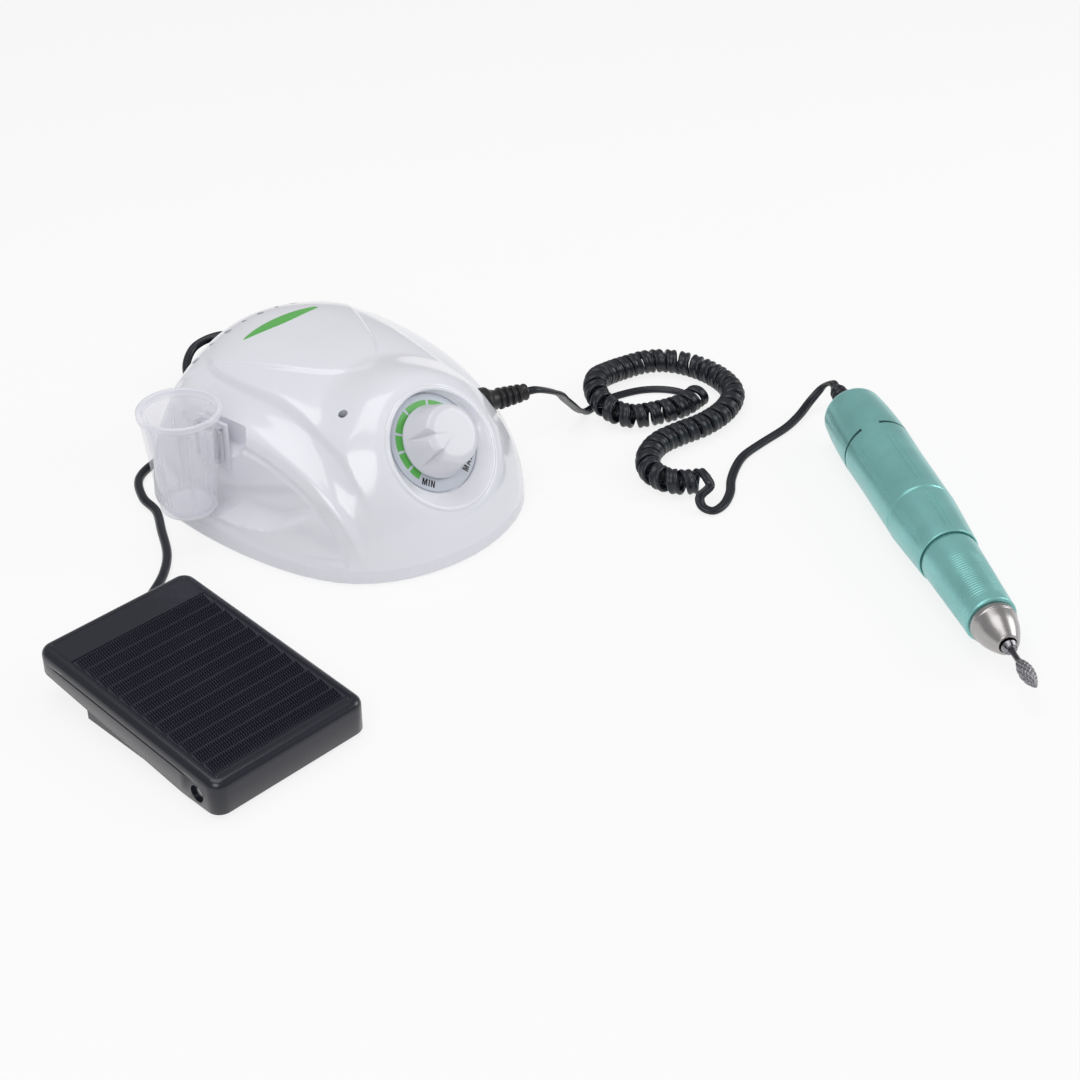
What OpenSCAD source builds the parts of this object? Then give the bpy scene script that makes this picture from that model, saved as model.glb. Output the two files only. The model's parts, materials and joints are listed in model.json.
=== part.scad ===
// Bench micromotor set: a domed speed-control box with a handpiece cup on its flank, a foot pedal
// on a round cord, and a motor handpiece on a curly twin cord.

/* [Control box] */
// Height of the domed shell above the table
shell_h = 65.5; // [62:0.5:72]
// Half of the greatest width of the shell
half_w = 69; // [67:0.5:74]
// Half of the width across the front corners
corner_w = 60.5; // [58:0.5:62]
// How far the front bows forward of its corners
front_bow = 23; // [19:0.5:25]
// Depth from the front corners to the back
shell_d = 125; // [121:0.5:129]
// Wall of the shell and of the tray
wall = 3; // [2.4:0.1:3.4]
// Height of the seam between the tray and the shell
seam_z = 6.5; // [6:0.5:8]
// Rise of the tongue-shaped panel on the crown
tongue_rise = 1; // [0.6:0.1:2]
// Distance of the scoop's flat panel from the middle, at its tip
scoop_x = 52; // [50.5:0.5:53]
// Thickness of the rubber feet below the tray
foot_gap = 1; // [0.6:0.1:1.6]
// Radius of each rubber foot
foot_r = 6; // [4:0.5:7]
// Number of air holes across the back of the crown
vent_count = 9; // [5:2:9]

/* [Speed dial] */
// Radius of the dial plate
dial_r = 21; // [19.5:0.5:22]
// Thickness of the dial plate
dial_t = 1; // [0.6:0.1:1.4]
// Radius of the knob's skirt
knob_r = 15.5; // [14:0.5:17]
// Height of the knob above the dial plate
knob_h = 15.6; // [13.5:0.1:17]
// Radius of the potentiometer shaft
pot_shaft_r = 3; // [2.5:0.1:3.2]

/* [Handpiece cup] */
// Outer radius of the cup at its rim
cup_rim_r = 16.5; // [15:0.5:17.5]
// Outer radius of the cup at its floor
cup_floor_r = 11.5; // [10:0.5:13]
// Height of the cup
cup_h = 47; // [40:1:52]
// Wall of the cup
cup_wall = 1.6; // [1.2:0.1:2.2]
// Height of the cup's floor above the table
cup_z = 19; // [17:0.5:22]

/* [Foot pedal] */
// Width of the treadle
pedal_w = 70; // [64:1:78]
// Length of the treadle from heel to toe
pedal_l = 105; // [100:1:112]
// Height of the treadle at the heel
heel_h = 15.5; // [14.5:0.5:17]
// Height of the treadle at the toe
toe_h = 22; // [21.5:0.5:24]
// Wall of the treadle's skirts
skirt_t = 2; // [1.6:0.1:2.4]
// Radius of the hinge pin
pin_r = 2; // [1.6:0.1:2.4]
// Travel of the treadle in degrees
treadle_travel = 4; // [2:0.5:4]

/* [Handpiece] */
// Greatest radius of the handpiece
grip_r = 15; // [14.5:0.1:15.6]
// Radius at the twist collar's front end
collar_r = 10.4; // [10:0.1:11]
// Length from the rear cap to the tip of the nose
hand_l = 176; // [170:1:182]
// Radius of the bur's shank
shank_r = 1.175; // [1:0.025:1.5]
// Greatest radius of the bur's head
bur_r = 3.1; // [2.4:0.1:3.6]
// Length of the bur's head
bur_l = 16; // [12:0.5:18]
// Radius of the motor spindle
spindle_r = 2.5; // [2.2:0.1:3]
// Radial running clearance of the turning pieces
run_gap = 0.05; // [0.03:0.01:0.08]

/* [Cords] */
// Width of the flat twin cord
twin_w = 4.2; // [3.6:0.1:4.3]
// Thickness of the flat twin cord
twin_t = 2.8; // [2.4:0.1:3]
// Radius of the curls at the middle of the cord
curl_r = 4.5; // [4:0.1:4.8]
// Number of whole curls
curl_count = 41; // [34:1:41]
// Diameter of the round pedal cord
pedal_cord_d = 3.9; // [3.4:0.1:4.2]

/* [Hidden] */
$fn = 48;

// Where the three units stand on the table
box_at = [-5.5, 63, 0];
pedal_at = [-147, -12.5, 0];
hand_mid = [126.7, -87.5];
hand_heading = 236.4;
// Shift that brings the middle of the three units over the origin
origin_shift = [-1.42, -2.78, 0];
module on_table() { translate(origin_shift) children(); }
// Clearance between fixed pieces that slip into each other
slip = 0.1;
// Clearance of pieces that slide or hang freely
free_gap = 0.3;
over = 0.01;

// Small helpers
function unit(v) = v / norm(v);
function ramp(v, a, b) = let(k = max(0, min(1, (v - a) / (b - a)))) k * k * (3 - 2 * k);

// Dome of the control box: a plan outline that shrinks up to the crown along super-elliptic ribs
axis_y = 76;
side_run = 123;
back_bow = 12;
bulge_front = 2.55;
bulge_back = 5;
bulge_power = 7;
front_k = front_bow / pow(corner_w, 2);
back_k = back_bow / pow(half_w, 2);
corner_sharp = 20;
corner_fade = 15;
back_sharp = 6;
function parabola(d, k, c, s) = 2 * d / (-s + sqrt(s * s + 4 * k * c * c * d));
function reach(t, p) =
    let(c = cos(t), s = sin(t),
        side = 1 / sqrt(pow(c / half_w, 2) + pow(s / side_run, 2)),
        front = parabola(axis_y + front_bow, front_k, c, s),
        back = parabola(shell_d - axis_y, back_k, c, -s))
    pow(pow(side, -p) + pow(back, -p) + pow(front, -p), -1 / p);
function bulge(t) = bulge_front + (bulge_back - bulge_front) * pow((1 + sin(t)) / 2, bulge_power);

// Raised tongue on the crown: pointed at the front and flaring to the back
tongue_y = 40;
tongue_edge = 4;
function tongue_half(y) = let(d = y - tongue_y) d < 0 ? -1 : 0.5 * d + 12 * (1 - exp(-d / 5));
function tongue(x, y) = tongue_rise * ramp(tongue_half(y) - abs(x), 0, tongue_edge) * ramp(y, tongue_y, tongue_y + 3);

// Shallow cove along the flank, between the brow and the fender
cove_depth = 1.4;
cove_z = 0.783 * shell_h;
cove_half = 4;
function cove(y, z) =
    let(mid = cove_z - 0.004 * pow(max(0, 60 - y), 2))
    cove_depth * exp(-pow((z - mid) / cove_half, 2)) * ramp(y, 5, 30) * ramp(110 - y, 0, 30);

function dome_point(t, f, inset, crowned) =
    let(m = 2 / bulge(t), k = pow(cos(f), m), h = pow(sin(f), m), b = max(0, sin(t)),
        p = (1 - b) * (corner_sharp - corner_fade * sqrt(h)) + b * back_sharp,
        r = (reach(t, p) - inset) * k,
        x = r * cos(t), y = axis_y + r * sin(t), z = h * (shell_h - inset),
        q = crowned ? 1 : 0)
    [x - sign(x) * q * cove(y, z), y, z + q * tongue(x, y)];
function dome_foot(t, inset, z) = asin(pow(z / (shell_h - inset), bulge(t) / 2));
function rim_point(t, inset, z) =
    let(p = dome_point(t, dome_foot(t, inset, z), inset, false)) [p[0], p[1]];

module dome_solid(inset, from_z, turns, rings, crowned) {
    ring_points = [for (j = [0:rings - 1]) for (i = [0:turns - 1])
        let(t = 360 * i / turns, a = dome_foot(t, inset, from_z))
        dome_point(t, a + (90 - a) * j / rings, inset, crowned)];
    crown = dome_point(0, 90, inset, crowned);
    skin = [for (j = [0:rings - 2]) for (i = [0:turns - 1])
        let(a = j * turns + i, b = j * turns + (i + 1) % turns)
        each [[a, b + turns, b], [a, a + turns, b + turns]]];
    cap = [for (i = [0:turns - 1])
        [(rings - 1) * turns + i, rings * turns, (rings - 1) * turns + (i + 1) % turns]];
    polyhedron(concat(ring_points, [crown]), concat(skin, cap, [[for (i = [0:turns - 1]) i]]), 10);
}

skin_turns = 80;
skin_rings = 24;
room_turns = 40;
room_rings = 8;
// Plan of the dome at a height
module dome_plan(turns, inset, z) {
    polygon([for (i = [0:turns - 1]) rim_point(360 * i / turns, inset, z)]);
}

module place_box() { on_table() translate(box_at) children(); }

// Scoop in each flank: an arch above, a curving ledge below, and a bay for the cup
scoop_tip = [15, 29];
scoop_tilt = 6.2;
scoop_r = 17;
scoop_mid = [66, seam_z + 6 + scoop_r];
scoop_end = [90, seam_z + 6 + scoop_r];
bay_front = [67, 0.696 * shell_h];
bay_back = [91, 0.667 * shell_h];
arch_at = [62, 6];
arch_size = [64, 0.603 * shell_h];
arch_from = 36.4;
arch_step = 6.7;
ledge_route = [[62, 12.8], [56, 13], [45, 14], [34, 16], [24.5, 21.4], [15, 27.6]];
module scoop_outline() {
    polygon(concat(
        [for (a = [arch_from:arch_step:90]) arch_at + [-arch_size[0] * cos(a), arch_size[1] * sin(a)]],
        smooth(ledge_route, 3)));
    hull() {
        translate(scoop_mid) circle(scoop_r);
        translate(scoop_end) circle(scoop_r);
    }
    hull() {
        translate(bay_front) circle(11);
        translate(bay_back) circle(12);
        translate(scoop_end) circle(scoop_r);
    }
}
module on_panel(side) {
    mirror([side < 0 ? 1 : 0, 0, 0]) translate([scoop_x, scoop_tip[0], 0]) rotate([0, 0, -scoop_tilt])
        translate([0, -scoop_tip[0], 0]) children();
}
module scoop(side) {
    on_panel(side) rotate([90, 0, 90]) linear_extrude(half_w) scoop_outline();
}
// Plan of the room between the scoops' panels, set in by a margin
module cavity_plan(margin) {
    slope = tan(scoop_tilt);
    y = [-40, 140];
    near = scoop_x - wall - margin + slope * (y[0] - scoop_tip[0]);
    far = scoop_x - wall - margin + slope * (y[1] - scoop_tip[0]);
    polygon([[-near, y[0]], [near, y[0]], [far, y[1]], [-far, y[1]]]);
}
module room_plan(margin) {
    intersection() {
        dome_plan(room_turns, wall + margin, seam_z + lip_h);
        cavity_plan(margin);
    }
}

// Dial frame: its Z axis is the knob's axis, with the plate's face at zero
dial_el = 38;
dial_at = [0, 0.7, 0.6855 * shell_h];
collar_w = 4;
collar_rise = 1.4;
collar_deep = 12;
dial_well_r = 12;
bead_r = 1.5;
module place_dial() { place_box() translate(dial_at) rotate([90 - dial_el, 0, 0]) children(); }
module in_dial() { translate(dial_at) rotate([90 - dial_el, 0, 0]) children(); }

// Lamp frame: its Z axis is square to the shell
led_at = [-25.3, 26.1, 0.8595 * shell_h];
led_r = 1.8;
module in_led() { translate(led_at) rotate([0, 27, 226.8]) children(); }

// Gland frame: its Z axis is the way out of the flank
gland_at = [40.6, 12.4, 0.6412 * shell_h];
gland_turn = -18.6;
gland_r = 4;
gland_boss_r = 7;
gland_boss = 2.5;
gland_l = 20;
gland_flange_r = 5.6;
module in_gland() { translate(gland_at) rotate([0, 90, gland_turn]) children(); }
gland_dir = [cos(gland_turn), sin(gland_turn), 0];

// Rear panel: a flat plate let into the back, which carries the switches and sockets
panel_half = 44;
panel_z = [10, 42];
panel_t = 2;
panel_y = shell_d - 14;
panel_lip = 3;
panel_mid = (panel_z[0] + panel_z[1]) / 2;
switch_x = -33;
direction_x = 8;
inlet_x = -13;
jack_x = 34;
fuse_at = [-13, panel_mid + 7.5];
inlet_z = panel_mid - 6;
jack_z = panel_mid - 8;
// Room kept between the pieces on the panel and those that stand on the tray
fuse_l = 20;
inner_gap = 1;

// Screws from below into posts of the shell
screw_places = [[-36, 10], [36, 10], [-47, 100], [47, 100]];
screw_r = 1.5;
screw_head_r = 3;
screw_head_h = 2;
screw_l = 16;
post_r = 3.6;
foot_places = [[-42, 28], [42, 28], [-50, 84], [50, 84]];
foot_sink = 0.5;

badge_y = 94;
badge_l = 42;
badge_w = 5.5;
badge_floor = shell_h - 0.8;
badge_top = shell_h + tongue_rise + 0.5;
module leaf(l, w) {
    r = (l * l + w * w) / (4 * w);
    intersection() {
        translate([0, w / 2 - r]) circle(r, $fn = 360);
        translate([0, r - w / 2]) circle(r, $fn = 360);
    }
}

vent_pitch = 9;
vent_y = 108;
module vents() {
    for (i = [0:vent_count - 1]) {
        r = i % 2 == 0 ? 1.7 : 1.2;
        translate([(i - (vent_count - 1) / 2) * vent_pitch, vent_y, 0]) hull() {
            translate([0, 0, shell_h - 25]) cylinder(r = r, h = 1, $fn = 16);
            translate([0, 0, shell_h + 4]) cylinder(r = r, h = 1, $fn = 16);
        }
    }
}

module top_shell() {
    color("#eceef4") place_box() difference() {
        union() {
            difference() {
                dome_solid(0, seam_z, skin_turns, skin_rings, true);
                intersection() {
                    dome_solid(wall, seam_z / 2, room_turns, room_rings, false);
                    linear_extrude(shell_h) cavity_plan(0);
                }
            }
            intersection() {
                dome_solid(wall / 2, seam_z, room_turns, room_rings, false);
                union() {
                    translate([-panel_half - panel_lip, panel_y - wall, panel_z[0] - panel_lip])
                        cube([2 * (panel_half + panel_lip), 30, panel_z[1] - panel_z[0] + 2 * panel_lip]);
                    for (p = screw_places) translate([p[0], p[1], seam_z]) cylinder(r = post_r, h = shell_h);
                }
            }
            in_dial() {
                translate([0, 0, -dial_t - wall]) cylinder(r = dial_r + collar_w, h = wall);
                difference() {
                    translate([0, 0, -collar_deep])
                        cylinder(r = dial_r + collar_w, h = collar_deep + collar_rise);
                    translate([0, 0, -collar_deep - over]) cylinder(r = dial_well_r, h = 2 * collar_deep);
                }
                translate([0, 0, collar_rise]) rotate_extrude()
                    translate([dial_r + collar_w - bead_r, 0]) circle(bead_r, $fn = 10);
            }
            in_gland() translate([0, 0, -8]) cylinder(r = gland_boss_r, h = 8 + gland_boss);
        }
        scoop(-1);
        scoop(1);
        in_dial() {
            translate([0, 0, -dial_t]) cylinder(r = dial_r + slip, h = 30);
            translate([0, 0, -dial_t - 2 * wall]) cylinder(r = pot_shaft_r + 1, h = 4 * wall);
        }
        in_led() translate([0, 0, -12]) cylinder(r = led_r + slip, h = 20);
        in_gland() {
            translate([0, 0, -20]) cylinder(r = gland_r + slip, h = 40);
            translate([0, 0, gland_boss]) cylinder(r = gland_boss_r + over, h = 40);
        }
        translate([0, badge_y, badge_floor]) linear_extrude(20)
            leaf(badge_l + 2 * slip, badge_w + 2 * slip);
        vents();
        translate([-panel_half - slip, panel_y, panel_z[0] - slip])
            cube([2 * (panel_half + slip), 40, panel_z[1] - panel_z[0] + 2 * slip]);
        translate([-panel_half + panel_lip, panel_y - 2 * wall, panel_z[0] + panel_lip])
            cube([2 * (panel_half - panel_lip), 40, panel_z[1] - panel_z[0] - 2 * panel_lip]);
        for (p = screw_places) translate([p[0], p[1], 0])
            cylinder(r = screw_r + slip, h = foot_gap + screw_l + 1, $fn = 16);
    }
}

floor_t = 2.2;
lip_h = 3;
lip_t = 1.4;
lip_gap = 0.7;
floor_z = foot_gap + floor_t;
board_z = floor_z + 9;
board_size = [40, 66, 1.6];
board_at = [27, panel_y + panel_t - fuse_l - inner_gap - board_size[1] / 2];
standoff_r = 3;
standoffs = [for (sx = [-1, 1]) for (sy = [-1, 1])
    [board_at[0] + sx * (board_size[0] / 2 - 5), board_at[1] + sy * (board_size[1] / 2 - 5)]];
module base_tray() {
    color("#e6e8ef") place_box() difference() {
        union() {
            difference() {
                union() {
                    translate([0, 0, foot_gap]) linear_extrude(seam_z - foot_gap) dome_plan(skin_turns, 0, seam_z);
                    translate([0, 0, seam_z - over]) linear_extrude(lip_h) room_plan(lip_gap);
                }
                translate([0, 0, floor_z]) linear_extrude(shell_h) room_plan(lip_gap + lip_t);
            }
            for (p = screw_places) translate([p[0], p[1], foot_gap]) cylinder(r = post_r, h = seam_z - foot_gap);
            for (p = standoffs) translate([p[0], p[1], foot_gap]) cylinder(r = standoff_r, h = board_z - foot_gap);
        }
        for (p = screw_places) translate([p[0], p[1], 0]) {
            cylinder(r = screw_r + slip, h = shell_h);
            cylinder(r = screw_head_r + slip, h = foot_gap + screw_head_h);
            translate([0, 0, seam_z]) cylinder(r = post_r + free_gap, h = lip_h + 1);
        }
        translate([-panel_half - panel_lip - free_gap, panel_y - wall - free_gap, seam_z])
            cube([2 * (panel_half + panel_lip + free_gap), 30, lip_h + 1]);
        for (p = foot_places) translate([p[0], p[1], 0])
            cylinder(r = foot_r + slip, h = foot_gap + foot_sink);
    }
}

module box_feet() {
    color("#303236") place_box() for (p = foot_places) translate([p[0], p[1], 0])
        cylinder(r = foot_r, h = foot_gap + foot_sink);
}

module case_screws() {
    color("#b8bcc2") place_box() for (p = screw_places) translate([p[0], p[1], foot_gap]) {
        cylinder(r = screw_r, h = screw_l);
        cylinder(r = screw_head_r, h = screw_head_h);
    }
}

module dial_plate() {
    color("#c9d0da") place_dial() translate([0, 0, -dial_t]) difference() {
        cylinder(r = dial_r, h = dial_t);
        translate([0, 0, -1]) cylinder(r = pot_shaft_r + 1, h = dial_t + 2);
    }
}

knob_gap = 0.8;
nut_h = 2.2;
nut_r = 6;
knob_face_r = 10;
knob_round = 3;
knob_notches = [184, 246];
module speed_knob() {
    grip = knob_h - knob_gap;
    color("#f2f3f7") place_dial() translate([0, 0, knob_gap]) difference() {
        rotate_extrude() polygon(concat(
            [[0, 0], [knob_r, 0], [knob_r, 1.6], [knob_r - 2, 2.6]],
            [for (a = [0:15:90]) [knob_face_r + knob_round * (cos(a) - 1) + 1.6 * (1 - a / 90),
                grip - knob_round + knob_round * sin(a)]],
            [[0, grip]]));
        translate([0, 0, -over]) cylinder(r = nut_r + 2, h = nut_h + 1.4);
        cylinder(r = pot_shaft_r, h = grip - 3);
        for (a = knob_notches) rotate([0, 0, a]) translate([knob_r - 1, 0, 2.6]) rotate([0, -12, 0])
            linear_extrude(knob_h) polygon([[-4.2, 0], [4, -4.4], [4, 4.4]]);
    }
}

pot_h = 10;
tab_w = 8;
tab_out = dial_well_r - 1;
module pot_shaft() {
    color("#c4c7cc") place_dial() translate([0, 0, -dial_t - wall - pot_h + 1])
        cylinder(r = pot_shaft_r, h = dial_t + wall + pot_h - 1 + knob_gap + knob_h - knob_gap - 3);
}

bushing_r = pot_shaft_r + 0.8;
module potentiometer() {
    color("#7b6a4a") place_dial() difference() {
        union() {
            translate([0, 0, -dial_t - wall - pot_h]) cylinder(r = 8.2, h = pot_h);
            translate([0, 0, -dial_t - wall - over]) cylinder(r = bushing_r, h = dial_t + wall + nut_h + 0.6);
            translate([-tab_w / 2, -tab_out, -dial_t - wall - pot_h + 3]) cube([tab_w, tab_out - 5, 1]);
        }
        translate([0, 0, -dial_t - wall - pot_h + 1]) cylinder(r = pot_shaft_r + run_gap, h = 40);
    }
}

module pot_nut() {
    color("#c9a24a") place_dial() difference() {
        cylinder(r = nut_r, h = nut_h, $fn = 6);
        translate([0, 0, -1]) cylinder(r = bushing_r + 0.02, h = nut_h + 2);
    }
}

module power_led() {
    color("#2f6b3c") place_box() in_led() {
        translate([0, 0, -wall - 3.4]) cylinder(r = led_r, h = wall + 2);
        translate([0, 0, -1.4]) sphere(led_r);
        translate([0, 0, -wall - 3.4]) cylinder(r = led_r + 0.9, h = 1);
    }
}

module crown_badge() {
    color("#68be64") place_box() translate([0, badge_y, badge_floor])
        linear_extrude(badge_top - badge_floor) leaf(badge_l, badge_w);
}

// Cup and its rail, in the frame of the left scoop's panel: X is the way out
cup_y = 69.3;
cup_out = 18;
hook_z = [36, 52];
hook_roof = 2;
rail_z = [hook_z[0] - 1, hook_z[1] - hook_roof];
rail_neck = [3.4, 3];
rail_head = [2, 8];
foot_plate = 1.6;
hook_w = 13;
module place_cup() { place_box() on_panel(-1) translate([0, cup_y, 0]) children(); }

module cup_bracket() {
    color("#dfe2ea") place_cup() {
        translate([0, -8, rail_z[0] - 3]) cube([foot_plate, 16, rail_z[1] - rail_z[0] + 6]);
        translate([foot_plate - over, -rail_neck[1] / 2, rail_z[0]])
            cube([rail_neck[0] - foot_plate + 2 * over, rail_neck[1], rail_z[1] - rail_z[0]]);
        translate([rail_neck[0], -rail_head[1] / 2, rail_z[0]])
            cube([rail_head[0], rail_head[1], rail_z[1] - rail_z[0]]);
    }
}

cup_ribs = 6;
cup_rib = 1.1;
function cup_r(z) = cup_floor_r + (cup_rim_r - cup_floor_r) * (z - cup_z) / cup_h;
module cup_body(inset, from) {
    rotate_extrude() polygon([[0, from], [cup_r(from) - inset, from],
        [cup_rim_r - inset, cup_z + cup_h], [0, cup_z + cup_h]]);
}
module handpiece_cup() {
    reach_in = foot_plate + free_gap;
    color("#dfe4ec") place_cup() difference() {
        union() {
            translate([cup_out, 0, 0]) cup_body(0, cup_z);
            translate([reach_in, -hook_w / 2, hook_z[0]])
                cube([cup_out - reach_in, hook_w, hook_z[1] - hook_z[0]]);
            translate([cup_out, 0, cup_z + cup_h - 2]) cylinder(r = cup_rim_r + 0.6, h = 2);
        }
        difference() {
            translate([cup_out, 0, over]) cup_body(cup_wall, cup_z + cup_wall);
            difference() {
                for (i = [0:cup_ribs - 1]) translate([cup_out, 0, cup_z]) rotate([0, 0, 360 * i / cup_ribs])
                    translate([0, -cup_rib / 2, 0]) cube([cup_rim_r, cup_rib, cup_h - 6]);
                translate([cup_out, 0, 0]) cup_body(cup_wall + cup_rib, cup_z);
            }
        }
        translate([reach_in - 1, -rail_neck[1] / 2 - free_gap, 0])
            cube([rail_neck[0], rail_neck[1] + 2 * free_gap, rail_z[1]]);
        translate([rail_neck[0] - free_gap, -rail_head[1] / 2 - free_gap, 0])
            cube([rail_head[0] + 2 * free_gap, rail_head[1] + 2 * free_gap, rail_z[1]]);
    }
}

coil_y = 34;
core_at = [-22, panel_y + panel_t - fuse_l - inner_gap - coil_y / 2];
core_size = [46, 20, 38];
core_limb = 15;
core_yoke = 7.5;
module transformer_core() {
    window_w = (core_size[0] - core_limb) / 2 - core_yoke;
    window_h = core_size[2] - 2 * core_yoke;
    color("#5a5f66") place_box() translate([core_at[0], core_at[1], floor_z]) difference() {
        translate([-core_size[0] / 2, -core_size[1] / 2, 0]) cube(core_size);
        for (s = [-1, 1]) translate([s * (core_limb + window_w) / 2, 0, core_yoke + window_h / 2])
            cube([window_w, core_size[1] + 2, window_h], center = true);
    }
}
module transformer_coil() {
    window_w = (core_size[0] - core_limb) / 2 - core_yoke;
    window_h = core_size[2] - 2 * core_yoke;
    color("#c9862f") place_box() translate([core_at[0], core_at[1], floor_z + core_yoke + window_h / 2])
        difference() {
            cube([core_limb + 2 * (window_w - slip), coil_y, window_h - 2 * slip], center = true);
            cube([core_limb + 2 * slip, core_size[1] + 2 * slip, window_h + 2], center = true);
        }
}

module circuit_board() {
    color("#2d6b45") place_box() translate([board_at[0], board_at[1], board_z])
        translate([-board_size[0] / 2, -board_size[1] / 2, 0]) cube(board_size);
}
module capacitors() {
    color("#3c4650") place_box() translate([board_at[0], board_at[1], board_z + board_size[2]])
        for (y = [-20, -6]) translate([-8, y, 0]) {
            cylinder(r = 6, h = 20);
            cylinder(r = 6.4, h = 1);
        }
}
module heat_sink() {
    color("#9aa0a8") place_box() translate([board_at[0] - 2, board_at[1] + 20, board_z + board_size[2]]) {
        translate([-12, -1.5, 0]) cube([24, 3, 24]);
        for (i = [0:5]) translate([-12 + i * 4.4, 1.5 - over, 0]) cube([2, 7, 24]);
    }
}

rocker_size = [10, 18];
rocker_tilt = 9;
rocker_bore = 1.2;
frame_rim = 2;
switch_body = 14;
module rear_panel() {
    color("#d9dce4") place_box() difference() {
        translate([-panel_half, panel_y, panel_z[0]])
            cube([2 * panel_half, panel_t, panel_z[1] - panel_z[0]]);
        for (x = [switch_x, direction_x]) translate([x, panel_y, panel_mid])
            cube([rocker_size[0] + 2 * slip + 2, 20, rocker_size[1] + 2 * slip + 2], center = true);
        translate([inlet_x, panel_y, inlet_z]) cube([18 + 2 * slip, 20, 9 + 2 * slip], center = true);
        translate([fuse_at[0], panel_y - 10, fuse_at[1]]) rotate([-90, 0, 0]) cylinder(r = 5 + slip, h = 30);
        translate([jack_x, panel_y - 10, jack_z]) rotate([-90, 0, 0]) cylinder(r = 4 + slip, h = 30);
    }
}

// A rocker switch: a framed body with a rocker that tips about a cross pin
module switch_housing(x) {
    color("#26282c") place_box() translate([x, panel_y + panel_t, panel_mid]) difference() {
        union() {
            translate([-rocker_size[0] / 2 - frame_rim, 0, -rocker_size[1] / 2 - frame_rim])
                cube([rocker_size[0] + 2 * frame_rim, 1.6, rocker_size[1] + 2 * frame_rim]);
            translate([-rocker_size[0] / 2 - 1, -switch_body, -rocker_size[1] / 2 - 1])
                cube([rocker_size[0] + 2, switch_body + over, rocker_size[1] + 2]);
        }
        translate([-rocker_size[0] / 2, -switch_body + 2, -rocker_size[1] / 2])
            cube([rocker_size[0], switch_body + 10, rocker_size[1]]);
        translate([-rocker_size[0], -1, 0]) rotate([0, 90, 0])
            cylinder(r = rocker_bore + run_gap, h = 2 * rocker_size[0]);
    }
}
module switch_rocker(x) {
    half = rocker_size[0] / 2 - free_gap;
    color("#1d1f22") place_box() translate([x, panel_y + panel_t - 1, panel_mid]) {
        rotate([90, 0, 90]) translate([0, 0, -half]) linear_extrude(2 * half) rotate(rocker_tilt / 2)
            polygon([[-3, -2.4], [-3, 2.4], [2, 8.2], [4.4, 8.2], [2.8, 0], [4.4, -8.2], [2, -8.2]]);
        rotate([0, 90, 0]) translate([0, 0, -rocker_size[0] / 2 - 0.9])
            cylinder(r = rocker_bore, h = rocker_size[0] + 1.8);
    }
}
module power_switch() { switch_housing(switch_x); }
module power_rocker() { switch_rocker(switch_x); }
module direction_switch() { switch_housing(direction_x); }
module direction_rocker() { switch_rocker(direction_x); }

module fuse_holder() {
    color("#1f2124") place_box() translate([fuse_at[0], panel_y + panel_t, fuse_at[1]]) rotate([-90, 0, 0]) {
        cylinder(r = 6.4, h = 1.6);
        difference() {
            cylinder(r = 5.2, h = 5);
            translate([-6, -0.6, 4]) cube([12, 1.2, 2]);
        }
        translate([0, 0, -fuse_l]) cylinder(r = 5, h = fuse_l + over);
    }
}

module mains_inlet() {
    color("#1f2124") place_box() translate([inlet_x, panel_y + panel_t, inlet_z]) difference() {
        union() {
            translate([0, 0.8, 0]) cube([24, 1.6, 12], center = true);
            translate([0, -6 + over, 0]) cube([18, 12, 9], center = true);
        }
        for (s = [-1, 1]) translate([s * 4.2, -8, 0]) rotate([-90, 0, 0]) cylinder(r = 3.6, h = 20);
        translate([0, 0, 0]) cube([8.4, 16, 5], center = true);
    }
}
module inlet_pins() {
    color("#c9ccd2") place_box() for (s = [-1, 1])
        translate([inlet_x + s * 4.2, panel_y + panel_t - 14, inlet_z]) rotate([-90, 0, 0])
            cylinder(r = 1.2, h = 12.5);
}

plug_r = 5;
plug_l = 16;
plug_tail = 8;
jack_flange = 1.6;
module pedal_jack() {
    color("#33363b") place_box() translate([jack_x, panel_y + panel_t, jack_z]) rotate([-90, 0, 0])
        difference() {
            union() {
                cylinder(r = 6, h = jack_flange);
                translate([0, 0, -14]) cylinder(r = 4, h = 14 + over);
            }
            translate([0, 0, -12]) cylinder(r = 1.8, h = 20);
        }
}
module pedal_plug() {
    color("#1b1c1f") place_box() translate([jack_x, panel_y + panel_t + jack_flange, jack_z])
        rotate([-90, 0, 0]) {
            translate([0, 0, -11]) cylinder(r = 1.75, h = 11 + over);
            cylinder(r = plug_r, h = plug_l);
            translate([0, 0, plug_l - over]) cylinder(r1 = 3.6, r2 = pedal_cord_d / 2 + 0.5, h = plug_tail);
        }
}

gland_ribs = 4;
module cord_gland() {
    color("#1e2024") place_box() in_gland() {
        translate([0, 0, gland_boss - 12]) cylinder(r = gland_r, h = 12 + over);
        translate([0, 0, gland_boss]) cylinder(r = gland_flange_r, h = 2);
        translate([0, 0, gland_boss + 2 - over])
            cylinder(r1 = 3.9, r2 = twin_w / 2 + 0.4, h = gland_l - gland_boss - 2);
        for (i = [0:gland_ribs - 1]) translate([0, 0, gland_boss + 4 + i * 3])
            cylinder(r1 = 4.6 - i * 0.3, r2 = 4.3 - i * 0.3, h = 1.6);
    }
}

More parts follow.
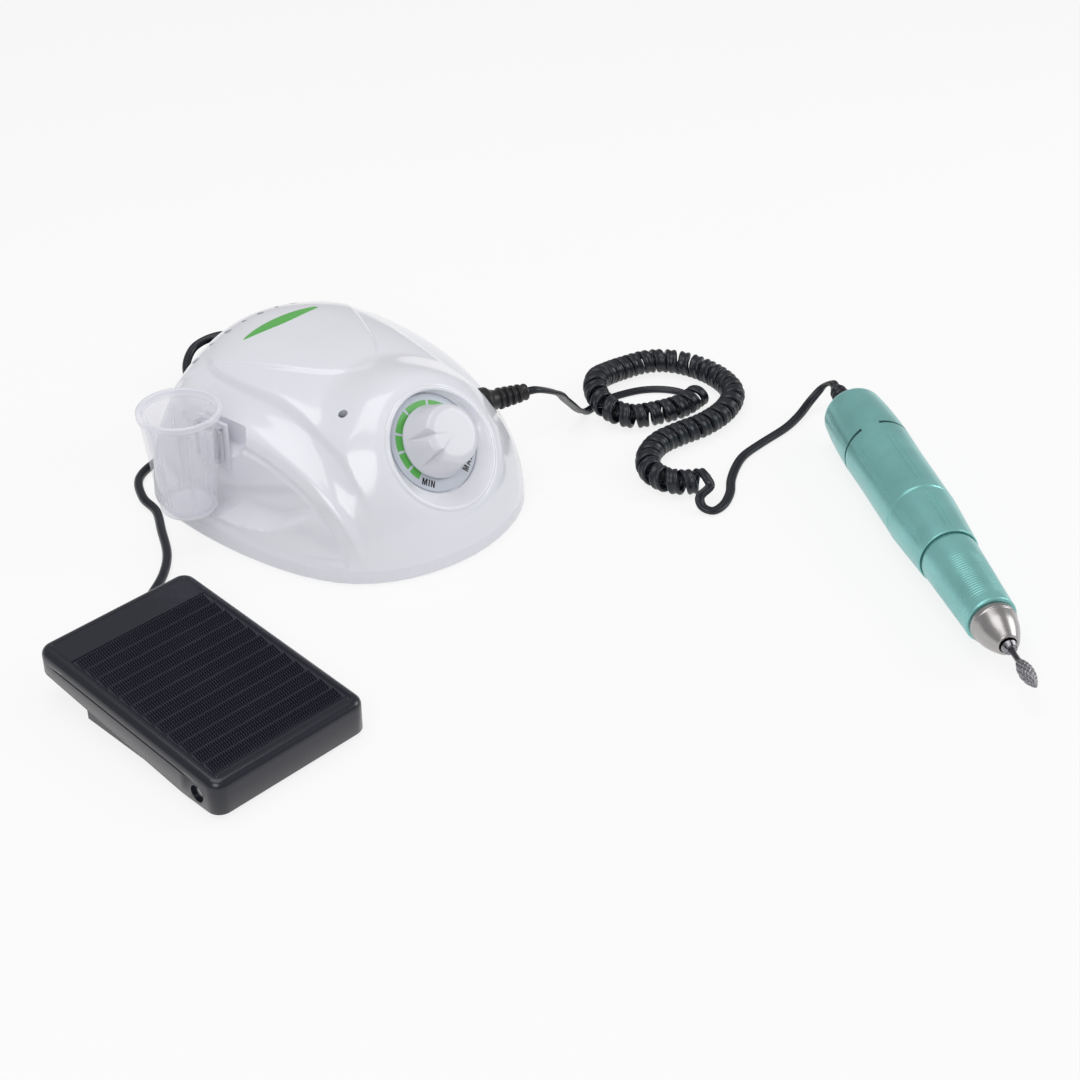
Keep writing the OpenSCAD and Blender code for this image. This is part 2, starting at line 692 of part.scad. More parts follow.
// Smooth curves through hand-placed points
function knot(p, i) = i < 0 ? 2 * p[0] - p[1] : i >= len(p) ? 2 * p[len(p) - 1] - p[len(p) - 2] : p[i];
function curve(p, i, t) =
    let(a = knot(p, i - 1), b = knot(p, i), c = knot(p, i + 1), d = knot(p, i + 2))
    b + 0.5 * t * (c - a + t * (2 * a - 5 * b + 4 * c - d + t * (3 * (b - c) + d - a)));
function smooth(p, per) = concat([for (i = [0:len(p) - 2]) for (k = [0:per - 1]) curve(p, i, k / per)],
    [p[len(p) - 1]]);
function heading(p, i) = unit(p[min(i + 1, len(p) - 1)] - p[max(i - 1, 0)]);
function flat_side(t) = unit(cross(t, [0, 0, 1]));
function ring(c, t, w, width, height, sides) = let(n = cross(w, t))
    [for (k = [0:sides - 1]) c + width / 2 * cos(360 * k / sides) * w + height / 2 * sin(360 * k / sides) * n];

// A closed tube through a list of rings, each with the same number of points
module ring_tube(rings) {
    sides = len(rings[0]);
    last = len(rings) - 1;
    skin = [for (i = [0:last - 1]) for (k = [0:sides - 1])
        let(a = i * sides + k, b = i * sides + (k + 1) % sides)
        each [[a, b, b + sides], [a, b + sides, a + sides]]];
    start = [for (k = [1:sides - 2]) [0, k + 1, k]];
    end = [for (k = [1:sides - 2]) [last * sides, last * sides + k, last * sides + k + 1]];
    polyhedron([for (r = rings) each r], concat(skin, start, end), 10);
}

// Curly cord: a helix of flat cord round a route that lies on the table
curl_bed = curl_r + twin_t / 2 + 0.1;
curl_route = [[152, 54, 0], [139, 53, 0], [126, 57, 0], [116, 63.5, 0], [111.5, 73, 2], [115, 84, 4.2],
    [124, 92, 4.2], [135, 95.5, 1.6], [147, 95.5, 0], [158, 92, 0], [166, 85, 0], [170.5, 74, 0],
    [171, 61, 0], [167.5, 49, 0], [160.5, 41, 0], [148, 36, 0], [133, 35, 0], [119, 37.5, 0],
    [107, 38.5, 0], [96, 35, 0], [88, 27.5, 0], [86, 18.5, 0], [89, 11, 0], [96, 5, 0]];
curl_fine = smooth([for (p = curl_route) [p[0], p[1], p[2] + curl_bed]], 8);
curl_along = [for (i = 0, s = 0; i < len(curl_fine);
    s = s + (i < len(curl_fine) - 1 ? norm(curl_fine[i + 1] - curl_fine[i]) : 0), i = i + 1) s];
curl_length = curl_along[len(curl_along) - 1];
curl_table = [for (c = [0:2]) [for (i = [0:len(curl_fine) - 1]) [curl_along[i], curl_fine[i][c]]]];
function curl_axis(s) = [for (c = [0:2]) lookup(s, curl_table[c])];
function curl_way(s) = unit(curl_axis(min(s + 2, curl_length)) - curl_axis(max(s - 2, 0)));
curl_steps = 8;
curl_rings = curl_steps * curl_count + curl_steps / 2;
function curl_point(j) =
    let(s = curl_length * j / curl_rings, d = curl_way(s), side = flat_side(d), lift = cross(side, d),
        a = -90 - 360 * j / curl_steps)
    curl_axis(s) + curl_r * (cos(a) * side + sin(a) * lift);
curl_points = [for (j = [0:curl_rings]) curl_point(j)];
curl_in = unit(curl_points[1] - curl_points[0] - [0, 0, curl_points[1][2] - curl_points[0][2]]);
curl_out = let(n = curl_rings) unit(curl_points[n] - curl_points[n - 1]
    - [0, 0, curl_points[n][2] - curl_points[n - 1][2]]);
curl_start = curl_points[0] - twin_w * curl_in;
curl_end = curl_points[curl_rings] + twin_w * curl_out;
function across(d, t) = unit(d - (d * t) * t);
curl_skin = concat(
    [ring(curl_start, curl_in, flat_side(curl_in), twin_w, twin_t, 6)],
    [for (j = [0:curl_rings])
        let(t = j == 0 ? curl_in : j == curl_rings ? curl_out : heading(curl_points, j),
            d = curl_way(curl_length * j / curl_rings))
        ring(curl_points[j], t, j == 0 ? flat_side(t) : across(d, t), twin_w, twin_t, 6)],
    [ring(curl_end, curl_out, -flat_side(curl_out), twin_w, twin_t, 6)]);
curl_gap = min([for (j = [0:len(curl_skin) - 1 - curl_steps]) for (k = [curl_steps - 1:curl_steps + 1])
    if (j + k < len(curl_skin)) each [for (a = curl_skin[j]) for (b = curl_skin[j + k]) norm(a - b)]]);
echo(least_gap_between_curls = curl_gap, curl_length = curl_length);

module curly_cord() { color("#17181b") on_table() ring_tube(curl_skin); }

// Handpiece frame: Z runs along its axis from the rear cap to the nose. It lies on the motor body,
// which tapers a little towards the nose
slot_z = 36;
mid_z = 86;
gap_z = 117;
collar_z = hand_l - 16;
belly_z = 30;
seam_gap = 0.6;
body_taper = 0.4;
hand_tilt = asin(body_taper / (mid_z - slot_z));
hand_dir = [cos(hand_tilt) * cos(hand_heading), cos(hand_tilt) * sin(hand_heading), -sin(hand_tilt)];
hand_rear = [hand_mid[0], hand_mid[1], grip_r / cos(hand_tilt) - (hand_l / 2 - slot_z) * sin(hand_tilt)]
    - hand_l / 2 * hand_dir;
boot_l = 20;
boot_r = 4.6;
boot_dir = -hand_dir;
boot_end = hand_rear + boot_l * boot_dir;
module place_hand() { on_table() translate(hand_rear) rotate([0, 90 + hand_tilt, hand_heading]) children(); }
skin_t = 2.4;
mid_r = grip_r - body_taper;
gap_r = grip_r - 2.6;
tube_r = 8;
can_r = grip_r - skin_t;

// Straight stretches of the twin cord: flat side down, along the table
gland_end = box_at + gland_at + gland_l * gland_dir;
flat_z = twin_t / 2 + 0.1;
lead_route = [gland_end, gland_end + [6, -2, -0.2], [74, 68, 37.5], [84, 73, 28], [94, 78.5, 16.5],
    [102, 82.5, 7], [110, 85.5, flat_z + 0.3], [120, 86.5, flat_z], [130, 85.5, flat_z], [142, 81, flat_z],
    [150, 74, flat_z], curl_start - 8 * curl_in, curl_start];
tail_route = [curl_end, curl_end + 4 * curl_out - [0, 0, 2.4], [86, -3.5, 3], [90, -8, flat_z], [96, -8, flat_z],
    [103, -4.5, flat_z], [111, 0.5, flat_z], [121, 6, flat_z], [131, 9.5, flat_z], [144, 10.5, flat_z],
    [162, 11, flat_z], [174, 12.5, 2.6], [184, 14, 5.5], [190, 12, 11], boot_end + 5 * boot_dir, boot_end];
module flat_cord(route, first, last_way, per) {
    p = smooth(route, per);
    n = len(p) - 1;
    ring_tube([for (i = [0:n]) let(t = i == 0 ? first : i == n ? last_way : heading(p, i))
        ring(p[i], t, flat_side(t), twin_w, twin_t, 8)]);
}
module lead_cord() { color("#17181b") on_table() flat_cord(lead_route, gland_dir, curl_in, 2); }
module tail_cord() { color("#17181b") on_table() flat_cord(tail_route, curl_out, -boot_dir, 2); }

module cord_boot() {
    color("#1b1c1f") place_hand() {
        translate([0, 0, -boot_l]) cylinder(r1 = twin_w / 2 + 0.6, r2 = boot_r, h = boot_l + over);
        for (i = [0:4]) translate([0, 0, -4 - i * 3.2]) cylinder(r = boot_r + 0.5 - i * 0.3, h = 1.5);
        cylinder(r = boot_r, h = 4);
    }
}

cap_face_r = 9;
cap_round = [4.6, 5];
cap_z = 16;
module rear_cap() {
    color("#6fb5a4") place_hand() difference() {
        rotate_extrude() polygon(concat([[boot_r + slip, 0]],
            [for (a = [0:10:90]) [cap_face_r + cap_round[0] * sin(a), cap_round[1] * (1 - cos(a))]],
            [[grip_r - 0.6, cap_z], [grip_r - 0.1, belly_z], [grip_r - 0.1, slot_z], [boot_r + slip, slot_z]]));
        translate([0, 0, 4]) cylinder(r = can_r, h = slot_z);
        for (side = [-1, 1]) rotate([0, 0, 180 + side * 62]) rotate([0, side * 6, 0])
            translate([0, 0, slot_z - 2.6]) rotate_extrude(angle = 92, start = -46)
                translate([grip_r - 1.2, 0]) square([4, 1.2]);
    }
}

module motor_body() {
    color("#74b9a8") place_hand() difference() {
        rotate_extrude() polygon([[can_r, slot_z], [grip_r, slot_z], [mid_r, mid_z - 0.5],
            [mid_r - 0.5, mid_z], [can_r, mid_z]]);
        for (i = [0:5]) for (s = [-1, 1]) rotate([0, 0, 60 * i + 4 * s])
            translate([grip_r - 0.35, -0.35, slot_z + 8]) cube([3, 0.7, mid_z - slot_z - 14]);
    }
}

spigot = 4;
module taper_sleeve() {
    color("#74b9a8") place_hand() difference() {
        union() {
            rotate_extrude() polygon([[tube_r, mid_z], [mid_r - 0.5, mid_z], [mid_r, mid_z + 0.5],
                [mid_r - 0.9, (mid_z + gap_z) / 2], [gap_r, gap_z - seam_gap], [tube_r, gap_z - seam_gap]]);
            translate([0, 0, mid_z - spigot]) cylinder(r = can_r - slip, h = spigot + over);
        }
        translate([0, 0, mid_z - spigot - 1]) cylinder(r = tube_r, h = gap_z);
    }
}

collar_rings = 14;
module twist_collar() {
    front = collar_z - gap_z;
    color("#6fb5a4") place_hand() difference() {
        rotate_extrude() polygon([[tube_r + run_gap, gap_z], [gap_r - 0.4, gap_z], [gap_r, gap_z + 0.6],
            [collar_r, collar_z - 0.8], [collar_r - 0.6, collar_z], [tube_r + run_gap, collar_z]]);
        for (i = [0:collar_rings - 1]) {
            z = gap_z + 5 + i * 1.5 + (i < collar_rings / 2 ? 0 : front - 2 * 5 - (collar_rings - 1) * 1.5);
            r = gap_r + (collar_r - gap_r) * (z - gap_z) / front;
            translate([0, 0, z]) rotate_extrude() translate([r - 0.2, 0]) square([2, 0.7]);
        }
    }
}

nose_start = 98;
bearing_r = 6;
nose_r = 9.2;
tip_r = 4.2;
module nose_cone() {
    face = collar_z + 0.4;
    color("#b9bcc0") place_hand() difference() {
        union() {
            translate([0, 0, nose_start]) cylinder(r = tube_r, h = face - nose_start + over);
            rotate_extrude() polygon([[0, face], [nose_r - 0.5, face], [nose_r, face + 0.5], [nose_r, face + 3],
                [nose_r - 0.7, face + 3.4], [tip_r + 1.2, hand_l - 4], [tip_r, hand_l - 3], [tip_r, hand_l],
                [0, hand_l]]);
        }
        translate([0, 0, nose_start - 1]) cylinder(r = bearing_r, h = collar_z - nose_start - 8);
        translate([0, 0, nose_start]) cylinder(r = spindle_r + 0.9, h = hand_l);
    }
}

magnet_z = [43, 78];
magnet_t = 2.6;
rotor_gap = 0.5;
module stator_magnet() {
    color("#4a4d52") place_hand() translate([0, 0, magnet_z[0]]) difference() {
        cylinder(r = can_r - slip / 2, h = magnet_z[1] - magnet_z[0]);
        translate([0, 0, -1]) cylinder(r = can_r - magnet_t, h = magnet_z[1]);
    }
}

holder_z = [26, 34];
brush_z = 36;
module brush_holder() {
    color("#3a3227") place_hand() {
        translate([0, 0, holder_z[0]]) difference() {
            cylinder(r = can_r - slip / 2, h = holder_z[1] - holder_z[0]);
            translate([0, 0, -1]) cylinder(r = bearing_r, h = 20);
        }
        for (s = [0, 180]) rotate([0, 0, s]) translate([5.5, -2, holder_z[1] - over]) cube([5, 4, 5]);
    }
}

bearing_w = 5;
module bearing(z) {
    color("#c6c9cd") place_hand() translate([0, 0, z]) difference() {
        cylinder(r = bearing_r - slip / 2, h = bearing_w);
        translate([0, 0, -1]) cylinder(r = spindle_r + run_gap, h = bearing_w + 2);
    }
}
module rear_bearing() { bearing((holder_z[0] + holder_z[1] - bearing_w) / 2); }
front_bearing_in = 30;
module front_bearing() { bearing(nose_start + front_bearing_in); }

commutator_r = 4.6;
commutator_l = 9;
module rotor() {
    color("#8a5a34") place_hand() difference() {
        union() {
            translate([0, 0, magnet_z[0] + 2])
                cylinder(r = can_r - magnet_t - rotor_gap, h = magnet_z[1] - magnet_z[0] - 4);
            translate([0, 0, brush_z]) cylinder(r = commutator_r, h = commutator_l);
        }
        translate([0, 0, brush_z - 1]) cylinder(r = spindle_r, h = hand_l);
        for (i = [0:4]) rotate([0, 0, 72 * i]) translate([can_r - magnet_t - rotor_gap - 4, -0.8, magnet_z[0] + 1])
            cube([6, 1.6, magnet_z[1] - magnet_z[0]]);
    }
}

collet_l = 14;
bur_in = 12;
module spindle() {
    color("#c2c5ca") place_hand() translate([0, 0, holder_z[0] - 2])
        cylinder(r = spindle_r, h = hand_l - collet_l - holder_z[0] + 2);
}

collet_tip = 2.5;
module collet() {
    color("#a9adb3") place_hand() difference() {
        union() {
            translate([0, 0, hand_l - collet_l]) cylinder(r = spindle_r + 0.3, h = collet_l + 0.5);
            translate([0, 0, hand_l + 0.5 - over]) cylinder(r1 = spindle_r + 0.9, r2 = spindle_r, h = collet_tip);
        }
        translate([0, 0, hand_l - bur_in]) cylinder(r = shank_r, h = bur_in + 10);
        for (a = [0, 60, 120]) rotate([0, 0, a]) translate([-5, -0.2, hand_l - 2]) cube([10, 0.4, 10]);
    }
}

shank_out = 10;
module bur() {
    base = hand_l + shank_out;
    color("#8f9296") place_hand() {
        translate([0, 0, hand_l - bur_in]) cylinder(r = shank_r, h = bur_in + shank_out + 2);
        rotate_extrude() polygon(concat([[0, base]],
            [for (i = [0:10]) [bur_r * pow(sin(20 + 160 * i / 10), 0.75), base + bur_l * i / 10]]));
    }
}

// Pedal frame: Y runs from the heel to the toe, X across, the treadle's top leans up to the toe
module place_pedal() { on_table() translate(pedal_at) children(); }
pedal_rise = atan((toe_h - heel_h) / pedal_l);
edge_round = 3;
top_t = 3;
pin_y = 11;
pin_z = 7;
heel_foot = 1.6;
skirt_toe = 12;
base_w = pedal_w - 2 * (skirt_t + free_gap);
base_end = 79;
base_top = 10.5;
base_floor = 2;
press_y = 52;
spring_y = 68;
function top_z(y) = heel_h + tan(pedal_rise) * y;

module treadle_profile(inset) {
    polygon([[inset, heel_foot + (inset > 0 ? -20 : 0)], [pin_y + 9, heel_foot + (inset > 0 ? -20 : 0)],
        [pedal_l - 12 - inset, top_z(pedal_l) - skirt_toe + (inset > 0 ? -20 : 0)],
        [pedal_l - inset, top_z(pedal_l) - skirt_toe + 1.5 + (inset > 0 ? -20 : 0)],
        [pedal_l - inset, top_z(pedal_l - inset) - (inset > 0 ? top_t : 0)],
        [inset, top_z(inset) - (inset > 0 ? top_t : 0)]]);
}
module cross_section() {
    h = 40;
    translate([-pedal_w / 2, -h]) square([pedal_w, h - edge_round]);
    translate([-pedal_w / 2 + edge_round, -h]) square([pedal_w - 2 * edge_round, h]);
    for (s = [-1, 1]) translate([s * (pedal_w / 2 - edge_round), -edge_round]) circle(edge_round);
}
mat_w = pedal_w - 9;
mat_y = [6, 88];
mat_sink = 0.7;
mat_t = 1.1;
mat_rows = 12;
module on_top() { translate([0, 0, heel_h]) rotate([pedal_rise, 0, 0]) children(); }
module treadle() {
    color("#1d1f23") place_pedal() difference() {
        union() {
            difference() {
                intersection() {
                    rotate([90, 0, 90]) translate([0, 0, -pedal_w / 2]) linear_extrude(pedal_w) treadle_profile(0);
                    on_top() translate([0, pedal_l + 20, 0]) rotate([90, 0, 0])
                        linear_extrude(pedal_l + 60) cross_section();
                }
                rotate([90, 0, 90]) translate([0, 0, -pedal_w / 2 + skirt_t])
                    linear_extrude(pedal_w - 2 * skirt_t) treadle_profile(skirt_t);
            }
            translate([0, press_y, switch_top + free_gap]) cylinder(r = 2.5, h = top_z(press_y) - switch_top - 1);
        }
        on_top() translate([-mat_w / 2 - slip, mat_y[0] - slip, -mat_sink])
            cube([mat_w + 2 * slip, mat_y[1] - mat_y[0] + 2 * slip, 10]);
        translate([-pedal_w, pin_y, pin_z]) rotate([0, 90, 0]) cylinder(r = pin_r, h = 2 * pedal_w);
        for (s = [-1, 1]) translate([s * pedal_w / 2, pin_y, pin_z]) rotate([0, 90, 0])
            cylinder(r = pin_r + 1.4, h = 2, center = true);
    }
}
module tread_mat() {
    row = (mat_y[1] - mat_y[0]) / mat_rows;
    color("#26282d") place_pedal() on_top() translate([-mat_w / 2, mat_y[0], -mat_sink]) difference() {
        cube([mat_w, mat_y[1] - mat_y[0], mat_t]);
        for (i = [1:mat_rows - 1]) translate([-1, i * row - 0.4, mat_t - 0.3]) cube([mat_w + 2, 0.8, 1]);
    }
}

module hinge_pin() {
    color("#aeb2b8") place_pedal() translate([-pedal_w / 2 + 1.2, pin_y, pin_z]) rotate([0, 90, 0])
        cylinder(r = pin_r, h = pedal_w - 2.4);
}

lug_w = 5;
switch_size = [7, 20, 6];
switch_floor = 0.8;
plunger_r = 1.5;
plunger_out = 0.5;
plunger_travel = (press_y - pin_y) * tan(treadle_travel);
switch_top = base_floor + foot_gap + switch_size[2] + plunger_travel + plunger_out;
module pedal_base() {
    color("#1a1c1f") place_pedal() difference() {
        union() {
            difference() {
                translate([-base_w / 2, pin_y + 5, foot_gap])
                    cube([base_w, base_end - pin_y - 5, base_top - foot_gap]);
                translate([-base_w / 2 + 2, pin_y + 7, foot_gap + base_floor])
                    cube([base_w - 4, base_end - pin_y - 9, 40]);
            }
            for (s = [-1, 1]) translate([s * (base_w / 2 - lug_w / 2) - lug_w / 2, pin_y, foot_gap]) {
                translate([0, 0, pin_z - foot_gap]) rotate([0, 90, 0]) cylinder(r = 4.4, h = lug_w);
                translate([0, -4.4, 0]) cube([lug_w, 12, pin_z - foot_gap]);
            }
            translate([0, spring_y, foot_gap]) cylinder(r = 2.2, h = base_floor + 3);
        }
        translate([-pedal_w, pin_y, pin_z]) rotate([0, 90, 0]) cylinder(r = pin_r + run_gap, h = 2 * pedal_w);
        translate([0, base_end - 4, pin_z]) rotate([-90, 0, 0]) cylinder(r = 3 + slip, h = 10);
        for (p = pedal_feet_at) translate([p[0], p[1], 0]) cylinder(r = 4 + slip, h = foot_gap + foot_sink);
    }
}
pedal_feet_at = [for (sx = [-1, 1]) for (y = [pin_y + 14, base_end - 9]) [sx * (base_w / 2 - 8), y]];
module pedal_feet() {
    color("#3a3d42") place_pedal() for (p = pedal_feet_at) translate([p[0], p[1], 0])
        cylinder(r = 4, h = foot_gap + foot_sink);
}

spring_r = 4;
spring_wire = 1;
spring_turns = 6;
module return_spring() {
    bottom = foot_gap + base_floor + spring_wire / 2;
    rise = top_z(spring_y) - top_t - spring_wire / 2 - bottom - free_gap;
    steps = 8 * spring_turns;
    p = [for (j = [0:steps]) [spring_r * cos(45 * j), spring_y + spring_r * sin(45 * j), bottom + rise * j / steps]];
    color("#b4b8be") place_pedal() ring_tube([for (j = [0:steps]) let(t = heading(p, j))
        ring(p[j], t, flat_side(t), spring_wire, spring_wire, 6)]);
}

module pedal_switch() {
    color("#2b3d52") place_pedal() translate([0, press_y, foot_gap + base_floor]) difference() {
        translate([-switch_size[0] / 2, -switch_size[1] / 2, 0]) cube(switch_size);
        translate([0, 0, switch_floor]) cylinder(r = plunger_r + run_gap, h = switch_size[2]);
    }
}
module switch_plunger() {
    low = foot_gap + base_floor + switch_floor + plunger_travel + free_gap;
    color("#d9dce2") place_pedal() translate([0, press_y, low]) cylinder(r = plunger_r, h = switch_top - low);
}

gland_out = 6;
module pedal_gland() {
    color("#15161a") place_pedal() translate([0, base_end, pin_z]) rotate([-90, 0, 0]) {
        translate([0, 0, -3]) cylinder(r = 3, h = 3 + over);
        cylinder(r1 = 3.4, r2 = pedal_cord_d / 2 + 0.4, h = gland_out);
    }
}

// Pedal cord: a run on the table, a tied coil behind the box, and a run up to the plug
pedal_cord_z = pedal_cord_d / 2 + 0.1;
tie_t = 0.8;
tie_w = 6;
tie_gap = 0.15;
coil_at = [27.5, 220.8];
coil_inner = 13.4;
coil_step = pedal_cord_d + 0.46;
coil_loops = 4;
coil_sides = 6;
coil_per = 24;
coil_bed = tie_t + tie_gap + pedal_cord_d / 2 + 0.05;
function coil_r(u) = coil_inner + coil_step * abs(u - coil_loops);
function coil_z(u) = coil_bed + coil_step * max(0, min(1, 2 * (u - coil_loops) + 0.5));
function coil_point(u) = [coil_at[0] - coil_r(u) * cos(360 * u), coil_at[1] + coil_r(u) * sin(360 * u), coil_z(u)];
coil_points = [for (j = [0:2 * coil_loops * coil_per]) coil_point(j / coil_per)];
coil_in = unit(coil_points[1] - coil_points[0]);
coil_out = let(n = len(coil_points) - 1) unit(coil_points[n] - coil_points[n - 1]);
coil_start = coil_points[0] - pedal_cord_d * coil_in;
coil_end = coil_points[len(coil_points) - 1] + pedal_cord_d * coil_out;
coil_line = concat([coil_start], coil_points, [coil_end]);
coil_skin = [for (i = [0:len(coil_line) - 1])
    let(t = i < 2 ? coil_in : i > len(coil_line) - 3 ? coil_out : heading(coil_line, i))
    ring(coil_line[i], t, flat_side(t), pedal_cord_d, pedal_cord_d, coil_sides)];
coil_gap = min([for (i = [0:len(coil_line) - coil_per]) for (j = [i + coil_per / 2:len(coil_line) - 1])
    if (norm(coil_line[i] - coil_line[j]) < 1.5 * pedal_cord_d)
        each [for (a = coil_skin[i]) for (b = coil_skin[j]) norm(a - b)]]);
echo(least_gap_in_coil = coil_gap);
module pedal_coil() { color("#17181b") on_table() ring_tube(coil_skin); }

module coil_tie() {
    room = pedal_cord_d / 2 + tie_gap;
    far = coil_r(0.5) + room;
    near = coil_r(coil_loops - 0.5) - room - coil_step / 2;
    top = coil_bed + coil_step + room;
    color("#26282c") on_table() translate([coil_at[0], coil_at[1], 0]) difference() {
        translate([near - tie_t, -tie_w / 2, 0]) cube([far - near + 2 * tie_t, tie_w, top + tie_t]);
        translate([near, -tie_w, tie_t]) cube([far - near, 2 * tie_w, top - tie_t]);
    }
}

pedal_exit = pedal_at + [0, base_end + gland_out, pin_z];
plug_end = box_at + [jack_x, panel_y + panel_t + jack_flange + plug_l + plug_tail - over, jack_z];
pedal_route = [pedal_exit, pedal_exit + [0, 5, -1.2], [-146.6, 86, 3], [-145, 95, pedal_cord_z],
    [-134, 106, pedal_cord_z], [-122, 113, pedal_cord_z], [-109, 121, pedal_cord_z],
    [-97, 131.5, pedal_cord_z], [-85.5, 146, pedal_cord_z], [-78, 159.5, pedal_cord_z], [-75.5, 172, pedal_cord_z],
    [-68, 185, pedal_cord_z], [-56, 191, pedal_cord_z], [-40, 192.5, pedal_cord_z], [-24, 194.5, pedal_cord_z],
    [-11, 201, 2.5], coil_start - 8 * coil_in, coil_start];
plug_route = [coil_end, coil_end + 6 * coil_out + [0, 0, 0.8], [1, 239, 11], [10, 244, 14.5], [20, 241.5, 17],
    [26.5, 233, 18.5], [28.5, 222, jack_z - 0.6], plug_end + [0, 7, 0], plug_end];
module round_cord(route, first, last_way) {
    p = smooth(route, 2);
    n = len(p) - 1;
    ring_tube([for (i = [0:n]) let(t = i == 0 ? first : i == n ? last_way : heading(p, i))
        ring(p[i], t, flat_side(t), pedal_cord_d, pedal_cord_d, 8)]);
}
module pedal_cord() { color("#17181b") on_table() round_cord(pedal_route, [0, 1, 0], coil_in); }
module plug_cord() { color("#17181b") on_table() round_cord(plug_route, coil_out, [0, -1, 0]); }

top_shell();
base_tray();
box_feet();
case_screws();
dial_plate();
speed_knob();
pot_shaft();
potentiometer();
pot_nut();
power_led();
crown_badge();
cup_bracket();
handpiece_cup();
transformer_core();
transformer_coil();
circuit_board();
capacitors();
heat_sink();
rear_panel();
power_switch();
power_rocker();
direction_switch();
direction_rocker();
fuse_holder();
mains_inlet();
inlet_pins();
pedal_jack();
pedal_plug();
cord_gland();
lead_cord();
curly_cord();
tail_cord();
cord_boot();
rear_cap();
motor_body();
taper_sleeve();
twist_collar();
nose_cone();
stator_magnet();
brush_holder();
rear_bearing();
front_bearing();
rotor();
spindle();
collet();
bur();
pedal_base();
treadle();
tread_mat();
hinge_pin();
return_spring();
pedal_switch();
switch_plunger();
pedal_feet();
pedal_gland();
pedal_cord();
pedal_coil();
coil_tie();
plug_cord();
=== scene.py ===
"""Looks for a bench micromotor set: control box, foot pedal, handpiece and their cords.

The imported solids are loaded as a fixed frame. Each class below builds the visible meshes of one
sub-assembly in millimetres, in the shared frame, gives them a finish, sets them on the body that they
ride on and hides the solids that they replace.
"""

from __future__ import annotations

import json
import logging
import math
from dataclasses import dataclass
from enum import Enum
from typing import Callable, Iterable, Sequence

import bmesh
import bpy
import numpy as np
from mathutils import Matrix, Vector

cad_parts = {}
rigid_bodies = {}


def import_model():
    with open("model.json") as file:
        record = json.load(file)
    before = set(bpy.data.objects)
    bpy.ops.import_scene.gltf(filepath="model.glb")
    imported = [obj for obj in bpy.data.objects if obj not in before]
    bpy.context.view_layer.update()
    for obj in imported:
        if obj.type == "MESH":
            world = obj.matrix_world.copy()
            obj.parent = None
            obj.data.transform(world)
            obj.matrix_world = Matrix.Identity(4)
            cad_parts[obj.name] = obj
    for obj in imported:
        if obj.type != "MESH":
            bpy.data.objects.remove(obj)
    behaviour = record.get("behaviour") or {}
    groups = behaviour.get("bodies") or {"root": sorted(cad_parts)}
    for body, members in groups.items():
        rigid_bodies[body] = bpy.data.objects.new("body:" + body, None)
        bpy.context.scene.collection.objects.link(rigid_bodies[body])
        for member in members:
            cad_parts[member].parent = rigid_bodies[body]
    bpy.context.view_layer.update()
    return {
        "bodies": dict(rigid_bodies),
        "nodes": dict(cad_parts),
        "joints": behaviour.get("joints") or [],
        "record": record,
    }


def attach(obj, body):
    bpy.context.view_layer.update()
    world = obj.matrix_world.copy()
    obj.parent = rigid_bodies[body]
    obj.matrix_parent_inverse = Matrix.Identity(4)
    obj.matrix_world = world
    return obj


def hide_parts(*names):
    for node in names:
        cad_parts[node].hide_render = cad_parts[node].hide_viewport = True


LOG = logging.getLogger("micromotor")
MM = 0.001
UP = np.array([0.0, 0.0, 1.0])
WHITE = (1.0, 1.0, 1.0, 1.0)
# Edges that turn by more degrees than this stay sharp, unless a piece has its own value
SHARP = 32.0
# Between a cord and the table, in millimetres
CLEARANCE = 0.1

Array = np.ndarray
Piece = bpy.types.Object
Socket = bpy.types.NodeSocket
Pair = tuple[float, float]
Point = tuple[float, float, float]
Profile = Sequence[Sequence[float]]
Mesh = tuple[Array, list[list[int]]]
Relief = Callable[[Array, Array, Array], Array]
Finishes = dict[str, bpy.types.Material]

# Where the three units stand, in millimetres, as in the part's source
ORIGIN_SHIFT = np.array([-1.42, -2.78, 0.0])
BOX_AT = np.array([-5.5, 63.0, 0.0])
PEDAL_AT = np.array([-147.0, -12.5, 0.0])


class Body(Enum):
    """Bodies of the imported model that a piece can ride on."""

    SET = "set"
    KNOB = "knob"
    CUP = "cup"
    TREADLE = "footplate"
    COLLAR = "collar"
    SHAFT = "motor_shaft"


class Shade:
    """One value inside a node tree, on which plain arithmetic adds Math nodes."""

    def __init__(self, tree: Graph, socket: Socket) -> None:
        """Keeps the socket and the tree that it belongs to."""
        self.tree = tree
        self.socket = socket

    def _math(self, operation: str, first: object, second: object) -> Shade:
        """Adds one Math node on two values."""
        return self.tree.node("ShaderNodeMath", {"operation": operation}, {0: first, 1: second})

    def __add__(self, other: object) -> Shade:
        """Sum of two values."""
        return self._math("ADD", self, other)

    def __radd__(self, other: object) -> Shade:
        """Sum with the number first."""
        return self._math("ADD", other, self)

    def __sub__(self, other: object) -> Shade:
        """Difference of two values."""
        return self._math("SUBTRACT", self, other)

    def __rsub__(self, other: object) -> Shade:
        """Difference with the number first."""
        return self._math("SUBTRACT", other, self)

    def __mul__(self, other: object) -> Shade:
        """Product of two values."""
        return self._math("MULTIPLY", self, other)

    def __rmul__(self, other: object) -> Shade:
        """Product with the number first."""
        return self._math("MULTIPLY", other, self)

    def wave(self) -> Shade:
        """Sine of a value."""
        return self._math("SINE", self, 0.0)

    def between(self, low: float, high: float) -> Shade:
        """Smooth step from 0 at low to 1 at high."""
        settings = {"interpolation_type": "SMOOTHSTEP"}
        values = {"Value": self, "From Min": low, "From Max": high, "To Min": 0.0, "To Max": 1.0}
        return self.tree.node("ShaderNodeMapRange", settings, values)


